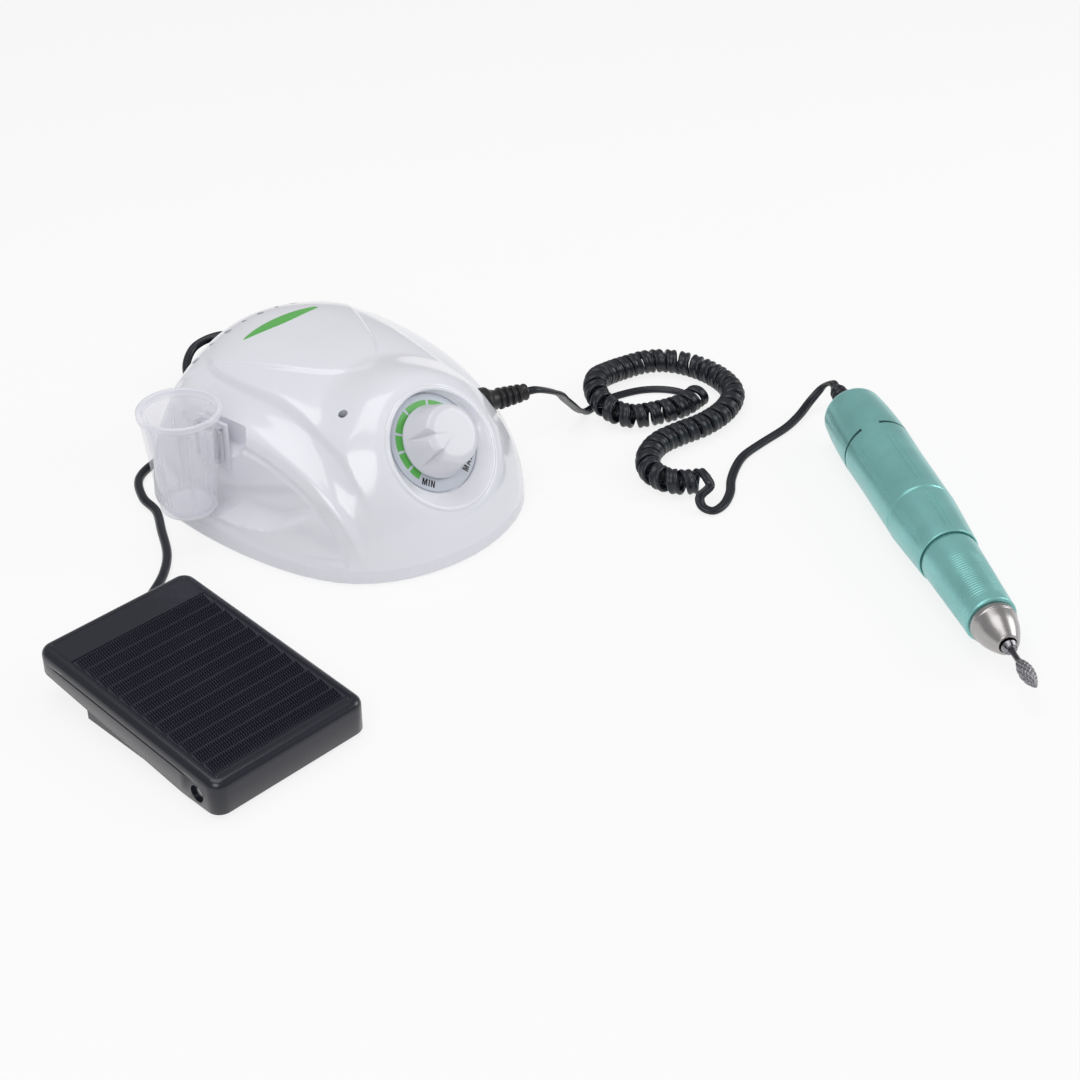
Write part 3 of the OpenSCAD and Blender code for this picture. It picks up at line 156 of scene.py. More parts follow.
class Graph:
    """A node tree of any kind, built through one node method."""

    def __init__(self, tree: bpy.types.NodeTree) -> None:
        """Keeps the tree."""
        self.tree = tree

    def node(self, kind: str, settings: dict | None = None, values: dict | None = None,
             out: object = 0) -> Shade:
        """Adds a node.

        Args:
            kind: Type name of the node.
            settings: Attributes of the node, set first.
            values: Numbers, colours or links for its input sockets.
            out: Name or index of the output to return.

        Returns:
            The chosen output as a value.
        """
        made = self.tree.nodes.new(kind)
        for key, value in (settings or {}).items():
            setattr(made, key, value)
        for key, value in (values or {}).items():
            self.feed(made.inputs[key], value)
        return Shade(self, made.outputs[out])

    def feed(self, socket: Socket, value: object) -> None:
        """Links a value to a socket, or sets the socket to a number or colour.

        Args:
            socket: Input of one of the tree's nodes.
            value: The value, number or colour.
        """
        if isinstance(value, Shade):
            self.tree.links.new(value.socket, socket)
        else:
            socket.default_value = value


class ShaderTree(Graph):
    """A material's node tree with one Principled shader."""

    def __init__(self, name: str) -> None:
        """Makes an empty material with a Principled shader at its output.

        Args:
            name: Name of the material.
        """
        self.material = bpy.data.materials.new(name)
        self.material.use_nodes = True
        super().__init__(self.material.node_tree)
        self.tree.nodes.clear()
        self.output = self.tree.nodes.new("ShaderNodeOutputMaterial")
        self.shader = self.tree.nodes.new("ShaderNodeBsdfPrincipled")
        self.tree.links.new(self.shader.outputs[0], self.output.inputs["Surface"])

    def set(self, **values: object) -> None:
        """Feeds the Principled shader's inputs, named with underscores for spaces."""
        for key, value in values.items():
            self.feed(self.shader.inputs[key.replace("_", " ")], value)

    def place(self) -> Shade:
        """Object coordinates, in metres."""
        return self.node("ShaderNodeTexCoord", out="Object")

    def along(self, axis: Sequence[float]) -> Shade:
        """Distance along an axis in metres, from the object's own coordinates."""
        values = {0: self.place(), 1: tuple(axis)}
        return self.node("ShaderNodeVectorMath", {"operation": "DOT_PRODUCT"}, values, "Value")

    def noise(self, size_mm: float, detail: float = 2.0) -> Shade:
        """Noise of a grain size in millimetres, from 0 to 1."""
        values = {"Vector": self.place(), "Scale": 1.0 / (size_mm * MM), "Detail": detail, "Roughness": 0.55}
        return self.node("ShaderNodeTexNoise", {"noise_dimensions": "3D"}, values, "Fac")

    def attribute(self, name: str) -> Shade:
        """A value stored on the mesh."""
        return self.node("ShaderNodeAttribute", {"attribute_name": name}, out="Fac")

    def mix(self, factor: Shade, first: object, second: object) -> Shade:
        """Mix of two colours by a value."""
        return self.node("ShaderNodeMix", {"data_type": "RGBA"}, {0: factor, 6: first, 7: second}, 2)

    def bump(self, height: Shade, depth_mm: float) -> None:
        """Feeds the shader's normal from a height of a depth in millimetres."""
        values = {"Height": height, "Distance": depth_mm * MM, "Strength": 1.0}
        self.set(Normal=self.node("ShaderNodeBump", {}, values))


def rgba(colour: Sequence[float], gain: float = 1.0) -> tuple[float, float, float, float]:
    """Colour with full alpha, brightened or darkened by a gain."""
    return (*(min(1.0, c * gain) for c in colour[:3]), 1.0)


@dataclass(frozen=True)
class Finish:
    """Recipe of a material, with its main colour."""

    colour: Point

    def paint(self, tree: ShaderTree) -> None:
        """Feeds the shader of a new material."""
        raise NotImplementedError

    def material(self, name: str) -> bpy.types.Material:
        """Builds the material.

        Args:
            name: Name of the material.

        Returns:
            The finished material.
        """
        tree = ShaderTree(name)
        self.paint(tree)
        return tree.material

    def blend(self, tree: ShaderTree, factor: Shade, low: float, high: float) -> Shade:
        """The colour between a darker and a brighter gain of it."""
        return tree.mix(factor, rgba(self.colour, low), rgba(self.colour, high))


@dataclass(frozen=True)
class Moulded(Finish):
    """Injection-moulded plastic: an even colour with faint flow marks and a fine spark grain."""

    roughness: float = 0.3
    coat: float = 0.0
    grain_mm: float = 0.35
    grain_depth: float = 0.01
    mottle: float = 0.03
    flow_mm: float = 24.0

    def paint(self, tree: ShaderTree) -> None:
        """Feeds the shader of a new material."""
        flow = tree.noise(self.flow_mm)
        grain = tree.noise(self.grain_mm)
        tree.set(Base_Color=self.blend(tree, flow, 1.0 - self.mottle, 1.0 + self.mottle))
        tree.set(Roughness=self.roughness + 0.12 * self.roughness * (grain + flow - 1.0))
        tree.set(Coat_Weight=self.coat, Coat_Roughness=0.06, IOR=1.5)
        tree.bump(grain, self.grain_depth)


@dataclass(frozen=True)
class SatinMetal(Finish):
    """Bead-blasted and tinted metal with a fine sparkle."""

    metallic: float = 0.55
    roughness: float = 0.34
    coat: float = 0.12
    fleck_mm: float = 0.22
    cloud_mm: float = 18.0

    def paint(self, tree: ShaderTree) -> None:
        """Feeds the shader of a new material."""
        fleck = tree.noise(self.fleck_mm)
        cloud = tree.noise(self.cloud_mm)
        tree.set(Base_Color=self.blend(tree, (0.6 * fleck + 0.4 * cloud).between(0.35, 0.65), 0.9, 1.12))
        tree.set(Roughness=self.roughness + 0.14 * (fleck - 0.5), Metallic=self.metallic)
        tree.set(Coat_Weight=self.coat, Coat_Roughness=0.2)
        tree.bump(fleck, 0.008)


@dataclass(frozen=True)
class TurnedMetal(Finish):
    """Metal with fine turning lines square to an axis."""

    axis: Point = (0.0, 0.0, 1.0)
    roughness: float = 0.26
    line_mm: float = 0.25
    cloud_mm: float = 9.0

    def paint(self, tree: ShaderTree) -> None:
        """Feeds the shader of a new material."""
        run = tree.along(self.axis)
        scale = {"W": run, "Scale": 1.0 / (self.line_mm * MM), "Detail": 2.0}
        line = tree.node("ShaderNodeTexNoise", {"noise_dimensions": "1D"}, scale, "Fac")
        cloud = tree.noise(self.cloud_mm)
        tree.set(Base_Color=self.blend(tree, line, 0.86, 1.08), Metallic=1.0)
        tree.set(Roughness=self.roughness + 0.1 * (line - 0.5) + 0.08 * (cloud - 0.5))
        tree.bump(line, 0.006)


@dataclass(frozen=True)
class Frosted(Finish):
    """Milky clear plastic, as dense as the mesh's veil value says."""

    roughness: float = 0.2
    haze_mm: float = 9.0
    grain_mm: float = 0.4

    def paint(self, tree: ShaderTree) -> None:
        """Feeds the shader of a new material."""
        haze = tree.noise(self.haze_mm, 3.0)
        grain = tree.noise(self.grain_mm)
        tree.set(Base_Color=self.blend(tree, haze, 0.97, 1.03))
        tree.set(Roughness=self.roughness + 0.06 * (haze - 0.5) + 0.05 * (grain - 0.5))
        tree.set(Alpha=tree.attribute("veil") + 0.04 * (haze - 0.5))
        tree.set(Coat_Weight=0.4, Coat_Roughness=0.06, IOR=1.5)


@dataclass(frozen=True)
class Rubber(Finish):
    """Soft black or grey rubber with a dry bloom."""

    roughness: float = 0.5
    grain_mm: float = 0.6
    bloom_mm: float = 14.0

    def paint(self, tree: ShaderTree) -> None:
        """Feeds the shader of a new material."""
        bloom = tree.noise(self.bloom_mm, 3.0)
        grain = tree.noise(self.grain_mm, 3.0)
        tree.set(Base_Color=self.blend(tree, bloom, 0.8, 1.25))
        tree.set(Roughness=self.roughness + 0.12 * (bloom - 0.5) + 0.08 * (grain - 0.5))
        tree.bump(grain, 0.015)


@dataclass(frozen=True)
class Wound(Finish):
    """Enamelled wire or stacked sheet: close parallel lines along an axis."""

    axis: Point = (0.0, 0.0, 1.0)
    pitch_mm: float = 0.6
    metallic: float = 0.8
    cloud_mm: float = 5.0

    def paint(self, tree: ShaderTree) -> None:
        """Feeds the shader of a new material."""
        strand = 0.5 + 0.5 * (tree.along(self.axis) * (2.0 * math.pi / (self.pitch_mm * MM))).wave()
        cloud = tree.noise(self.cloud_mm)
        tree.set(Base_Color=self.blend(tree, strand, 0.55, 1.1), Metallic=self.metallic)
        tree.set(Roughness=0.32 + 0.2 * cloud)
        tree.bump(strand, 0.08)


def new_object(name: str, data: bpy.types.ID) -> Piece:
    """Links a new object to the scene."""
    made = bpy.data.objects.new(name, data)
    bpy.context.scene.collection.objects.link(made)
    return made


def mesh_object(name: str, points: Array, faces: Iterable[Sequence[int]],
                sharp: float = SHARP) -> Piece:
    """Makes a smooth-shaded mesh object.

    Args:
        name: Name of the piece.
        points: Corner points in millimetres, in the shared frame.
        faces: Lists of corner numbers.
        sharp: Edges that turn by more degrees than this stay sharp.

    Returns:
        The new object, at the origin.
    """
    mesh = bpy.data.meshes.new(name)
    mesh.from_pydata((np.asarray(points, float) * MM).tolist(), [], [list(f) for f in faces])
    mesh.validate()
    finish_mesh(mesh, sharp)
    return new_object(name, mesh)


def finish_mesh(mesh: bpy.types.Mesh, sharp: float = SHARP) -> None:
    """Merges doubles, points faces outwards and sets smooth shading with sharp edges by angle.

    Args:
        mesh: The mesh to finish.
        sharp: Edges that turn by more degrees than this stay sharp.
    """
    work = bmesh.new()
    work.from_mesh(mesh)
    bmesh.ops.remove_doubles(work, verts=work.verts, dist=1e-7)
    bmesh.ops.recalc_face_normals(work, faces=work.faces)
    work.to_mesh(mesh)
    work.free()
    mesh.shade_smooth()
    mesh.set_sharp_from_angle(angle=math.radians(sharp))


def ring_faces(rings: int, around: int, loop: bool = False) -> list[list[int]]:
    """Faces between rings of points, each ring joined to the next.

    Args:
        rings: Number of rings.
        around: Points in each ring.
        loop: Whether the last ring is joined to the first.

    Returns:
        Lists of four corner numbers.
    """
    faces = []
    for i in range(rings if loop else rings - 1):
        low, high = i * around, (i + 1) % rings * around
        for k in range(around):
            j = (k + 1) % around
            faces.append([low + k, low + j, high + j, high + k])
    return faces


def tube_faces(rings: int, around: int) -> list[list[int]]:
    """Faces of a tube of rings, closed at both ends."""
    last = (rings - 1) * around
    return ring_faces(rings, around) + [list(range(around))[::-1], list(range(last, last + around))]


def turned(profile: Profile, steps: int, frame: Array, relief: Relief | None = None) -> Mesh:
    """Turns a closed profile round the Z axis of a frame.

    Args:
        profile: Points (radius, height) in millimetres, in order round the section.
        steps: Number of points round the axis.
        frame: 4 by 4 matrix from the piece's frame to the shared frame, in millimetres.
        relief: How far the surface is sunk at a radius, height and turn.

    Returns:
        Points and faces.
    """
    r, z = np.repeat(np.array(profile, float)[:, :, None], steps, axis=2).transpose(1, 0, 2)
    a = np.repeat(np.linspace(0.0, 2.0 * math.pi, steps, endpoint=False)[None, :], len(profile), axis=0)
    if relief is not None:
        r = np.maximum(r - relief(r, z, a), 0.0)
    points = np.stack([r * np.cos(a), r * np.sin(a), z], axis=-1).reshape(-1, 3)
    faces = []
    count = len(profile)
    for i in range(count):
        for k in range(steps):
            a0, b0 = i * steps + k, i * steps + (k + 1) % steps
            c0, d0 = ((i + 1) % count) * steps + k, ((i + 1) % count) * steps + (k + 1) % steps
            here, there = profile[i][0] < 1e-6, profile[(i + 1) % count][0] < 1e-6
            if here and there:
                continue
            if here:
                faces.append([a0, d0, c0])
            elif there:
                faces.append([a0, b0, c0])
            else:
                faces.append([a0, b0, d0, c0])
    return moved(points, frame), faces


def finer(profile: Profile, step: float) -> list[Pair]:
    """Closed profile with points no further apart than a step.

    Args:
        profile: Points in order round the section.
        step: The most between two points, in millimetres.

    Returns:
        The finer profile.
    """
    out = []
    for i, p in enumerate(profile):
        q = profile[(i + 1) % len(profile)]
        count = max(1, int(math.ceil(math.hypot(q[0] - p[0], q[1] - p[1]) / step)))
        if p[0] < 1e-6 and q[0] < 1e-6:
            count = 1
        out += [(p[0] + (q[0] - p[0]) * k / count, p[1] + (q[1] - p[1]) * k / count) for k in range(count)]
    return out


def moved(points: Array, frame: Array) -> Array:
    """Points taken from a piece's frame to the shared frame."""
    return np.asarray(points, float) @ frame[:3, :3].T + frame[:3, 3]


def rounded(corners: Profile, radius: float, steps: int = 4) -> list[Pair]:
    """Closed outline with its corners rounded.

    Args:
        corners: Points (radius, height), each with an optional own rounding as a third number.
        radius: Rounding of the other corners.
        steps: Pieces of each rounded corner.

    Returns:
        The finer outline.
    """
    out: list[Pair] = []
    count = len(corners)
    for i in range(count):
        a, b, c = (np.array(corners[(i + k) % count][:2], float) for k in (-1, 0, 1))
        own = corners[i][2] if len(corners[i]) > 2 else radius
        u, v = a - b, c - b
        own = min(own, 0.45 * np.linalg.norm(u), 0.45 * np.linalg.norm(v))
        if own < 1e-6:
            out.append((float(b[0]), float(b[1])))
            continue
        p, q = b + u / np.linalg.norm(u) * own, b + v / np.linalg.norm(v) * own
        for k in range(steps + 1):
            t = k / steps
            s = (1 - t) ** 2 * p + 2 * t * (1 - t) * b + t * t * q
            out.append((float(s[0]), float(s[1])))
    return out


def joined(parts: Iterable[Mesh]) -> Mesh:
    """Several meshes as one list of points and faces.

    Args:
        parts: The meshes.

    Returns:
        Points and faces.
    """
    points, faces, base = [], [], 0
    for p, f in parts:
        points.append(p)
        faces.extend([[i + base for i in face] for face in f])
        base += len(p)
    return np.concatenate(points), faces


def prism(outline: Profile, low: float, high: float, frame: Array) -> Mesh:
    """A flat outline raised between two heights of a frame."""
    points = [(x, y, z) for z in (low, high) for x, y in outline]
    return moved(np.array(points), frame), tube_faces(2, len(outline))


def round_box(low: Sequence[float], high: Sequence[float], r: float) -> list[Pair]:
    """Outline of a rectangle with rounded corners, counter-clockwise.

    Args:
        low: Its lower left corner.
        high: Its upper right corner.
        r: Radius of the corners.

    Returns:
        Points of the outline.
    """
    corners = [(high[0] - r, high[1] - r), (low[0] + r, high[1] - r), (low[0] + r, low[1] + r),
               (high[0] - r, low[1] + r)]
    turn = np.linspace(0.0, 0.5 * math.pi, 7)
    return [(x + r * math.cos(k + 0.5 * math.pi * i), y + r * math.sin(k + 0.5 * math.pi * i))
            for i, (x, y) in enumerate(corners) for k in turn]


def frame_of(at: Sequence[float], z_axis: Sequence[float], x_hint: Sequence[float]) -> Array:
    """Frame at a point with a Z axis and an X axis near a hint.

    Args:
        at: Its origin.
        z_axis: Its Z axis, of any length.
        x_hint: A direction near its X axis.

    Returns:
        The 4 by 4 matrix.
    """
    z = np.asarray(z_axis, float) / np.linalg.norm(z_axis)
    x = np.asarray(x_hint, float) - np.dot(x_hint, z) * z
    x /= np.linalg.norm(x)
    out = np.eye(4)
    out[:3, 0], out[:3, 1], out[:3, 2], out[:3, 3] = x, np.cross(z, x), z, at
    return out


def compass(degrees: float) -> Point:
    """Level direction at a turn from X."""
    a = math.radians(degrees)
    return math.cos(a), math.sin(a), 0.0


def turn_about(angle: float, at: Sequence[float] = (0.0, 0.0, 0.0)) -> Array:
    """Frame turned round its own Z axis by degrees, at a point."""
    return frame_of(at, UP, compass(angle))


def arc_band(low: float, high: float, turn: Array) -> list[Pair]:
    """Outline of a piece of a flat ring, between two radii."""
    return [(r * math.cos(k), r * math.sin(k)) for r, run in ((high, turn), (low, turn[::-1])) for k in run]


def shift_frame(at: Sequence[float]) -> Array:
    """Frame with the shared axes at a point."""
    out = np.eye(4)
    out[:3, 3] = at
    return out


def cut(piece: Piece, tool: Piece) -> None:
    """Cuts a piece with a tool and deletes the tool.

    Args:
        piece: The piece to cut.
        tool: What is taken away.
    """
    step = piece.modifiers.new("cut", "BOOLEAN")
    step.object = tool
    step.operation = "DIFFERENCE"
    step.solver = "EXACT"
    settle(piece)
    bpy.data.objects.remove(tool)


def absorb(piece: Piece, extra: Piece) -> None:
    """Adds another piece's mesh to a piece and deletes the other.

    Args:
        piece: The piece that grows.
        extra: The piece that goes into it.
    """
    work = bmesh.new()
    work.from_mesh(piece.data)
    work.from_mesh(extra.data)
    work.to_mesh(piece.data)
    work.free()
    bpy.data.objects.remove(extra)


def settle(piece: Piece) -> None:
    """Turns a piece with modifiers into a plain mesh.

    Args:
        piece: The piece.
    """
    graph = bpy.context.evaluated_depsgraph_get()
    mesh = bpy.data.meshes.new_from_object(piece.evaluated_get(graph), depsgraph=graph)
    piece.modifiers.clear()
    piece.data = mesh
    finish_mesh(mesh)


def soften(piece: Piece, width_mm: float, angle: float = 30.0) -> None:
    """Rounds the sharp edges of a piece.

    Args:
        piece: The piece to round.
        width_mm: Width of the rounding.
        angle: Edges that turn by fewer degrees are left.
    """
    step = piece.modifiers.new("soften", "BEVEL")
    step.width = width_mm * MM
    step.segments = 2
    step.limit_method = "ANGLE"
    step.angle_limit = math.radians(angle)
    settle(piece)


@dataclass
class Assembly:
    """A sub-assembly, with the materials that its pieces are dressed in."""

    finishes: Finishes

    def dress(self, piece: Piece, body: Body, slot: str, *nodes: str, look: str = "") -> Piece:
        """Gives a piece its slot's material, sets it on its body, and hides the solids that it stands for.

        Args:
            piece: The finished object.
            body: The body that it rides on.
            slot: The record's material slot.
            nodes: Names of the solids that it replaces.
            look: Name of its material, where that is not the slot's own.

        Returns:
            The same piece.
        """
        if not piece.data.materials:
            piece.data.materials.append(self.finishes[look or slot])
        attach(piece, body.value)
        if nodes:
            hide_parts(*nodes)
        LOG.info("%s rides on %s with %d faces", piece.name, body.value, len(piece.data.polygons))
        return piece


def knot(points: Array, i: int) -> Array:
    """A point of a route, with the route carried on straight at its ends.

    Args:
        points: Points of the route.
        i: Number of the point, also before the first or past the last.

    Returns:
        The point.
    """
    if i < 0:
        return 2 * points[0] - points[1]
    if i >= len(points):
        return 2 * points[-1] - points[-2]
    return points[i]


def smooth(route: Profile, per: int) -> Array:
    """Smooth curve through given points.

    Args:
        route: Points in millimetres.
        per: Steps between each two points.

    Returns:
        The finer points.
    """
    p = np.asarray(route, float)
    out = []
    for i in range(len(p) - 1):
        a, b, c, d = (knot(p, i + k) for k in (-1, 0, 1, 2))
        for k in range(per):
            t = k / per
            out.append(b + 0.5 * t * (c - a + t * (2 * a - 5 * b + 4 * c - d + t * (3 * (b - c) + d - a))))
    out.append(p[-1])
    return np.array(out)


def unit(v: Array) -> Array:
    """Vector of length one."""
    return v / np.linalg.norm(v)


def headings(path: Array) -> Array:
    """Directions along a path.

    Args:
        path: Points of the path.

    Returns:
        A unit vector at each.
    """
    d = np.empty_like(path)
    d[1:-1] = path[2:] - path[:-2]
    d[0], d[-1] = path[1] - path[0], path[-1] - path[-2]
    return d / np.linalg.norm(d, axis=1, keepdims=True)


def flat_sides(way: Array) -> Array:
    """Level directions square to a path."""
    s = np.cross(way, UP)
    return s / np.linalg.norm(s, axis=1, keepdims=True)


def swept(path: Array, sides: Array, section: Array, spread: Array | float = 1.0) -> Mesh:
    """Tube with a section along a path.

    Args:
        path: Centre points.
        sides: The section's X direction at each point.
        section: Points (x, y) of the section.
        spread: How much wider the section is at each point.

    Returns:
        Points and faces, closed at both ends.
    """
    way = headings(path)
    for i in range(1, len(sides)):
        if np.dot(sides[i], sides[i - 1]) < 0:
            sides[i] = -sides[i]
    up = np.cross(sides, way)
    wide = sides * np.reshape(spread, (-1, 1))
    points = (path[:, None, :] + section[None, :, 0, None] * wide[:, None, :]
              + section[None, :, 1, None] * up[:, None, :]).reshape(-1, 3)
    return points, tube_faces(len(path), len(section))


def in_metres(frame: Array) -> Matrix:
    """A frame in millimetres as a matrix in metres."""
    matrix = Matrix(frame.tolist())
    matrix.translation = matrix.translation * MM
    return matrix


class NodeTree(Graph):
    """A Geometry Nodes tree with named inputs, ended by Realize Instances and Set Material."""

    def __init__(self, name: str) -> None:
        """Makes an empty tree with a geometry in and out.

        Args:
            name: Name of the tree.
        """
        super().__init__(bpy.data.node_groups.new(name, "GeometryNodeTree"))
        for way in ("INPUT", "OUTPUT"):
            self.tree.interface.new_socket("Geometry", in_out=way, socket_type="NodeSocketGeometry")
        self.start = self.tree.nodes.new("NodeGroupInput")
        self.end = self.tree.nodes.new("NodeGroupOutput")
        self.values: dict[str, object] = {}

    def size(self, name: str, kind: str, value: object) -> Shade:
        """Adds a named input.

        Args:
            name: Name of the input.
            kind: Socket type, such as Float, Int or Vector.
            value: Its value.

        Returns:
            The input inside the tree.
        """
        made = self.tree.interface.new_socket(name, in_out="INPUT", socket_type=f"NodeSocket{kind}")
        made.default_value = value
        self.values[made.identifier] = value
        return Shade(self, self.start.outputs[name])

    def whole(self, operation: str, first: object, second: object) -> Shade:
        """Adds an Integer Math node on two values."""
        return self.node("FunctionNodeIntegerMath", {"operation": operation}, {0: first, 1: second})

    def close(self, geometry: Shade, material: bpy.types.Material | None) -> None:
        """Ends the tree with real geometry and a material."""
        real = self.node("GeometryNodeRealizeInstances", {}, {0: geometry})
        last = self.node("GeometryNodeSetMaterial", {}, {"Geometry": real, "Material": material})
        self.feed(self.end.inputs[0], last)

    def run(self, name: str, place: Array) -> Piece:
        """Runs the tree on an empty mesh and gives the result as a plain mesh object.

        Args:
            name: Name of the new object.
            place: 4 by 4 matrix, in millimetres, from the tree's frame to the shared frame.

        Returns:
            The object, at the origin, with its place in its mesh.
        """
        piece = new_object(name, bpy.data.meshes.new(name))
        step = piece.modifiers.new(name, "NODES")
        step.node_group = self.tree
        for identifier, value in self.values.items():
            step[identifier] = value
        settle(piece)
        piece.data.transform(in_metres(place))
        return piece


@dataclass
class VentRow:
    """Row of round air holes, large and small in turn, in millimetres."""

    count: int
    pitch: float
    large_r: float = 1.7
    small_r: float = 1.2
    depth: float = 22.0

    def cutter(self, middle: Array) -> Piece:
        """Round bars that cut the holes, one for each.

        Args:
            middle: Middle of the row in the shared frame.

        Returns:
            The bars as one object.
        """
        tree = NodeTree("vent_row")
        count = tree.size("Count", "Int", self.count)
        pitch = tree.size("Pitch", "Float", self.pitch * MM)
        ratio = tree.size("Small Ratio", "Float", self.small_r / self.large_r)
        step = tree.node("ShaderNodeCombineXYZ", {}, {"X": pitch})
        line = tree.node("GeometryNodeMeshLine", {}, {"Count": count, "Offset": step})
        sizes = {"Vertices": 28, "Radius": self.large_r * MM, "Depth": self.depth * MM}
        bar = tree.node("GeometryNodeMeshCylinder", {}, sizes)
        odd = tree.whole("MODULO", tree.node("GeometryNodeInputIndex"), 2)
        size = tree.node("ShaderNodeMapRange", {}, {"Value": odd, "To Min": 1.0, "To Max": ratio})
        scale = tree.node("ShaderNodeCombineXYZ", {}, {"X": size, "Y": size, "Z": 1.0})
        bars = {"Points": line, "Instance": bar, "Scale": scale}
        tree.close(tree.node("GeometryNodeInstanceOnPoints", {}, bars), None)
        first = middle - [0.5 * (self.count - 1) * self.pitch, 0.0, 0.0]
        return tree.run("vent_bars", shift_frame(first))


def bell(value: Array, at: float, wide: float) -> Array:
    """Bell curve of height one at a value, with a width."""
    return np.exp(-((value - at) / wide) ** 2)


def round_section(diameter: float, sides: int) -> Array:
    """Round cord section."""
    a = np.linspace(0, 2 * math.pi, sides, endpoint=False)
    return 0.5 * diameter * np.stack([np.cos(a), np.sin(a)], axis=1)


def twin_section(width: float, thick: float, waist: float, sides: int) -> Array:
    """Section of a twin cord, two rounds side by side with a shallow waist between them.

    Args:
        width: Across both cores.
        thick: Across one core.
        waist: Depth of the groove on each face.
        sides: Points round the section.

    Returns:
        Points (x, y) in millimetres.
    """
    a = np.linspace(0, 2 * math.pi, sides, endpoint=False)
    flat = 2.2
    x = 0.5 * thick * np.cos(a) + 0.5 * (width - thick) * np.tanh(flat * np.cos(a)) / math.tanh(flat)
    groove = waist / (0.5 * thick) * bell(x, 0.0, 0.3 * thick)
    return np.stack([x, 0.5 * thick * np.sin(a) * (1.0 - groove)], axis=1)


def steadied(sides: Array, way: Array) -> Array:
    """Width directions with one sign and no sudden turns, square to the path.

    Args:
        sides: Width directions along the path.
        way: Directions of the path.

    Returns:
        The steadied directions.
    """
    out = sides.copy()
    for i in range(1, len(out)):
        if np.dot(out[i], out[i - 1]) < 0:
            out[i] = -out[i]
    kernel = np.array([1.0, 2.0, 3.0, 2.0, 1.0])
    padded = np.concatenate([out[:1], out[:1], out, out[-1:], out[-1:]])
    out = sum(k * padded[i:i + len(out)] for i, k in enumerate(kernel)) / kernel.sum()
    out -= np.sum(out * way, axis=1, keepdims=True) * way
    return out / np.linalg.norm(out, axis=1, keepdims=True)


@dataclass
class Handpiece:
    """Straight motor handpiece, measured along its axis from the rear cap, in millimetres."""

    middle: Pair = (126.7, -87.5)
    heading: float = 236.4
    length: float = 176.0
    grip_r: float = 15.0
    slot_z: float = 36.0
    mid_z: float = 86.0
    boot_l: float = 20.0
    taper: float = 0.4

    @property
    def tilt(self) -> float:
        """Dip towards the nose, from the body's taper on the table."""
        return math.asin(self.taper / (self.mid_z - self.slot_z))

    @property
    def way(self) -> Array:
        """Direction from the rear cap to the nose."""
        h, level = math.radians(self.heading), math.cos(self.tilt)
        return np.array([level * math.cos(h), level * math.sin(h), -math.sin(self.tilt)])

    @property
    def rear(self) -> Array:
        """Point on the axis at the rear cap, before the shift."""
        z = self.grip_r / math.cos(self.tilt) - (self.length / 2 - self.slot_z) * math.sin(self.tilt)
        return np.array([*self.middle, z]) - self.length / 2 * self.way

    def frame(self) -> Array:
        """Frame with Z along the axis and X up."""
        return frame_of(self.rear + ORIGIN_SHIFT, self.way, UP)


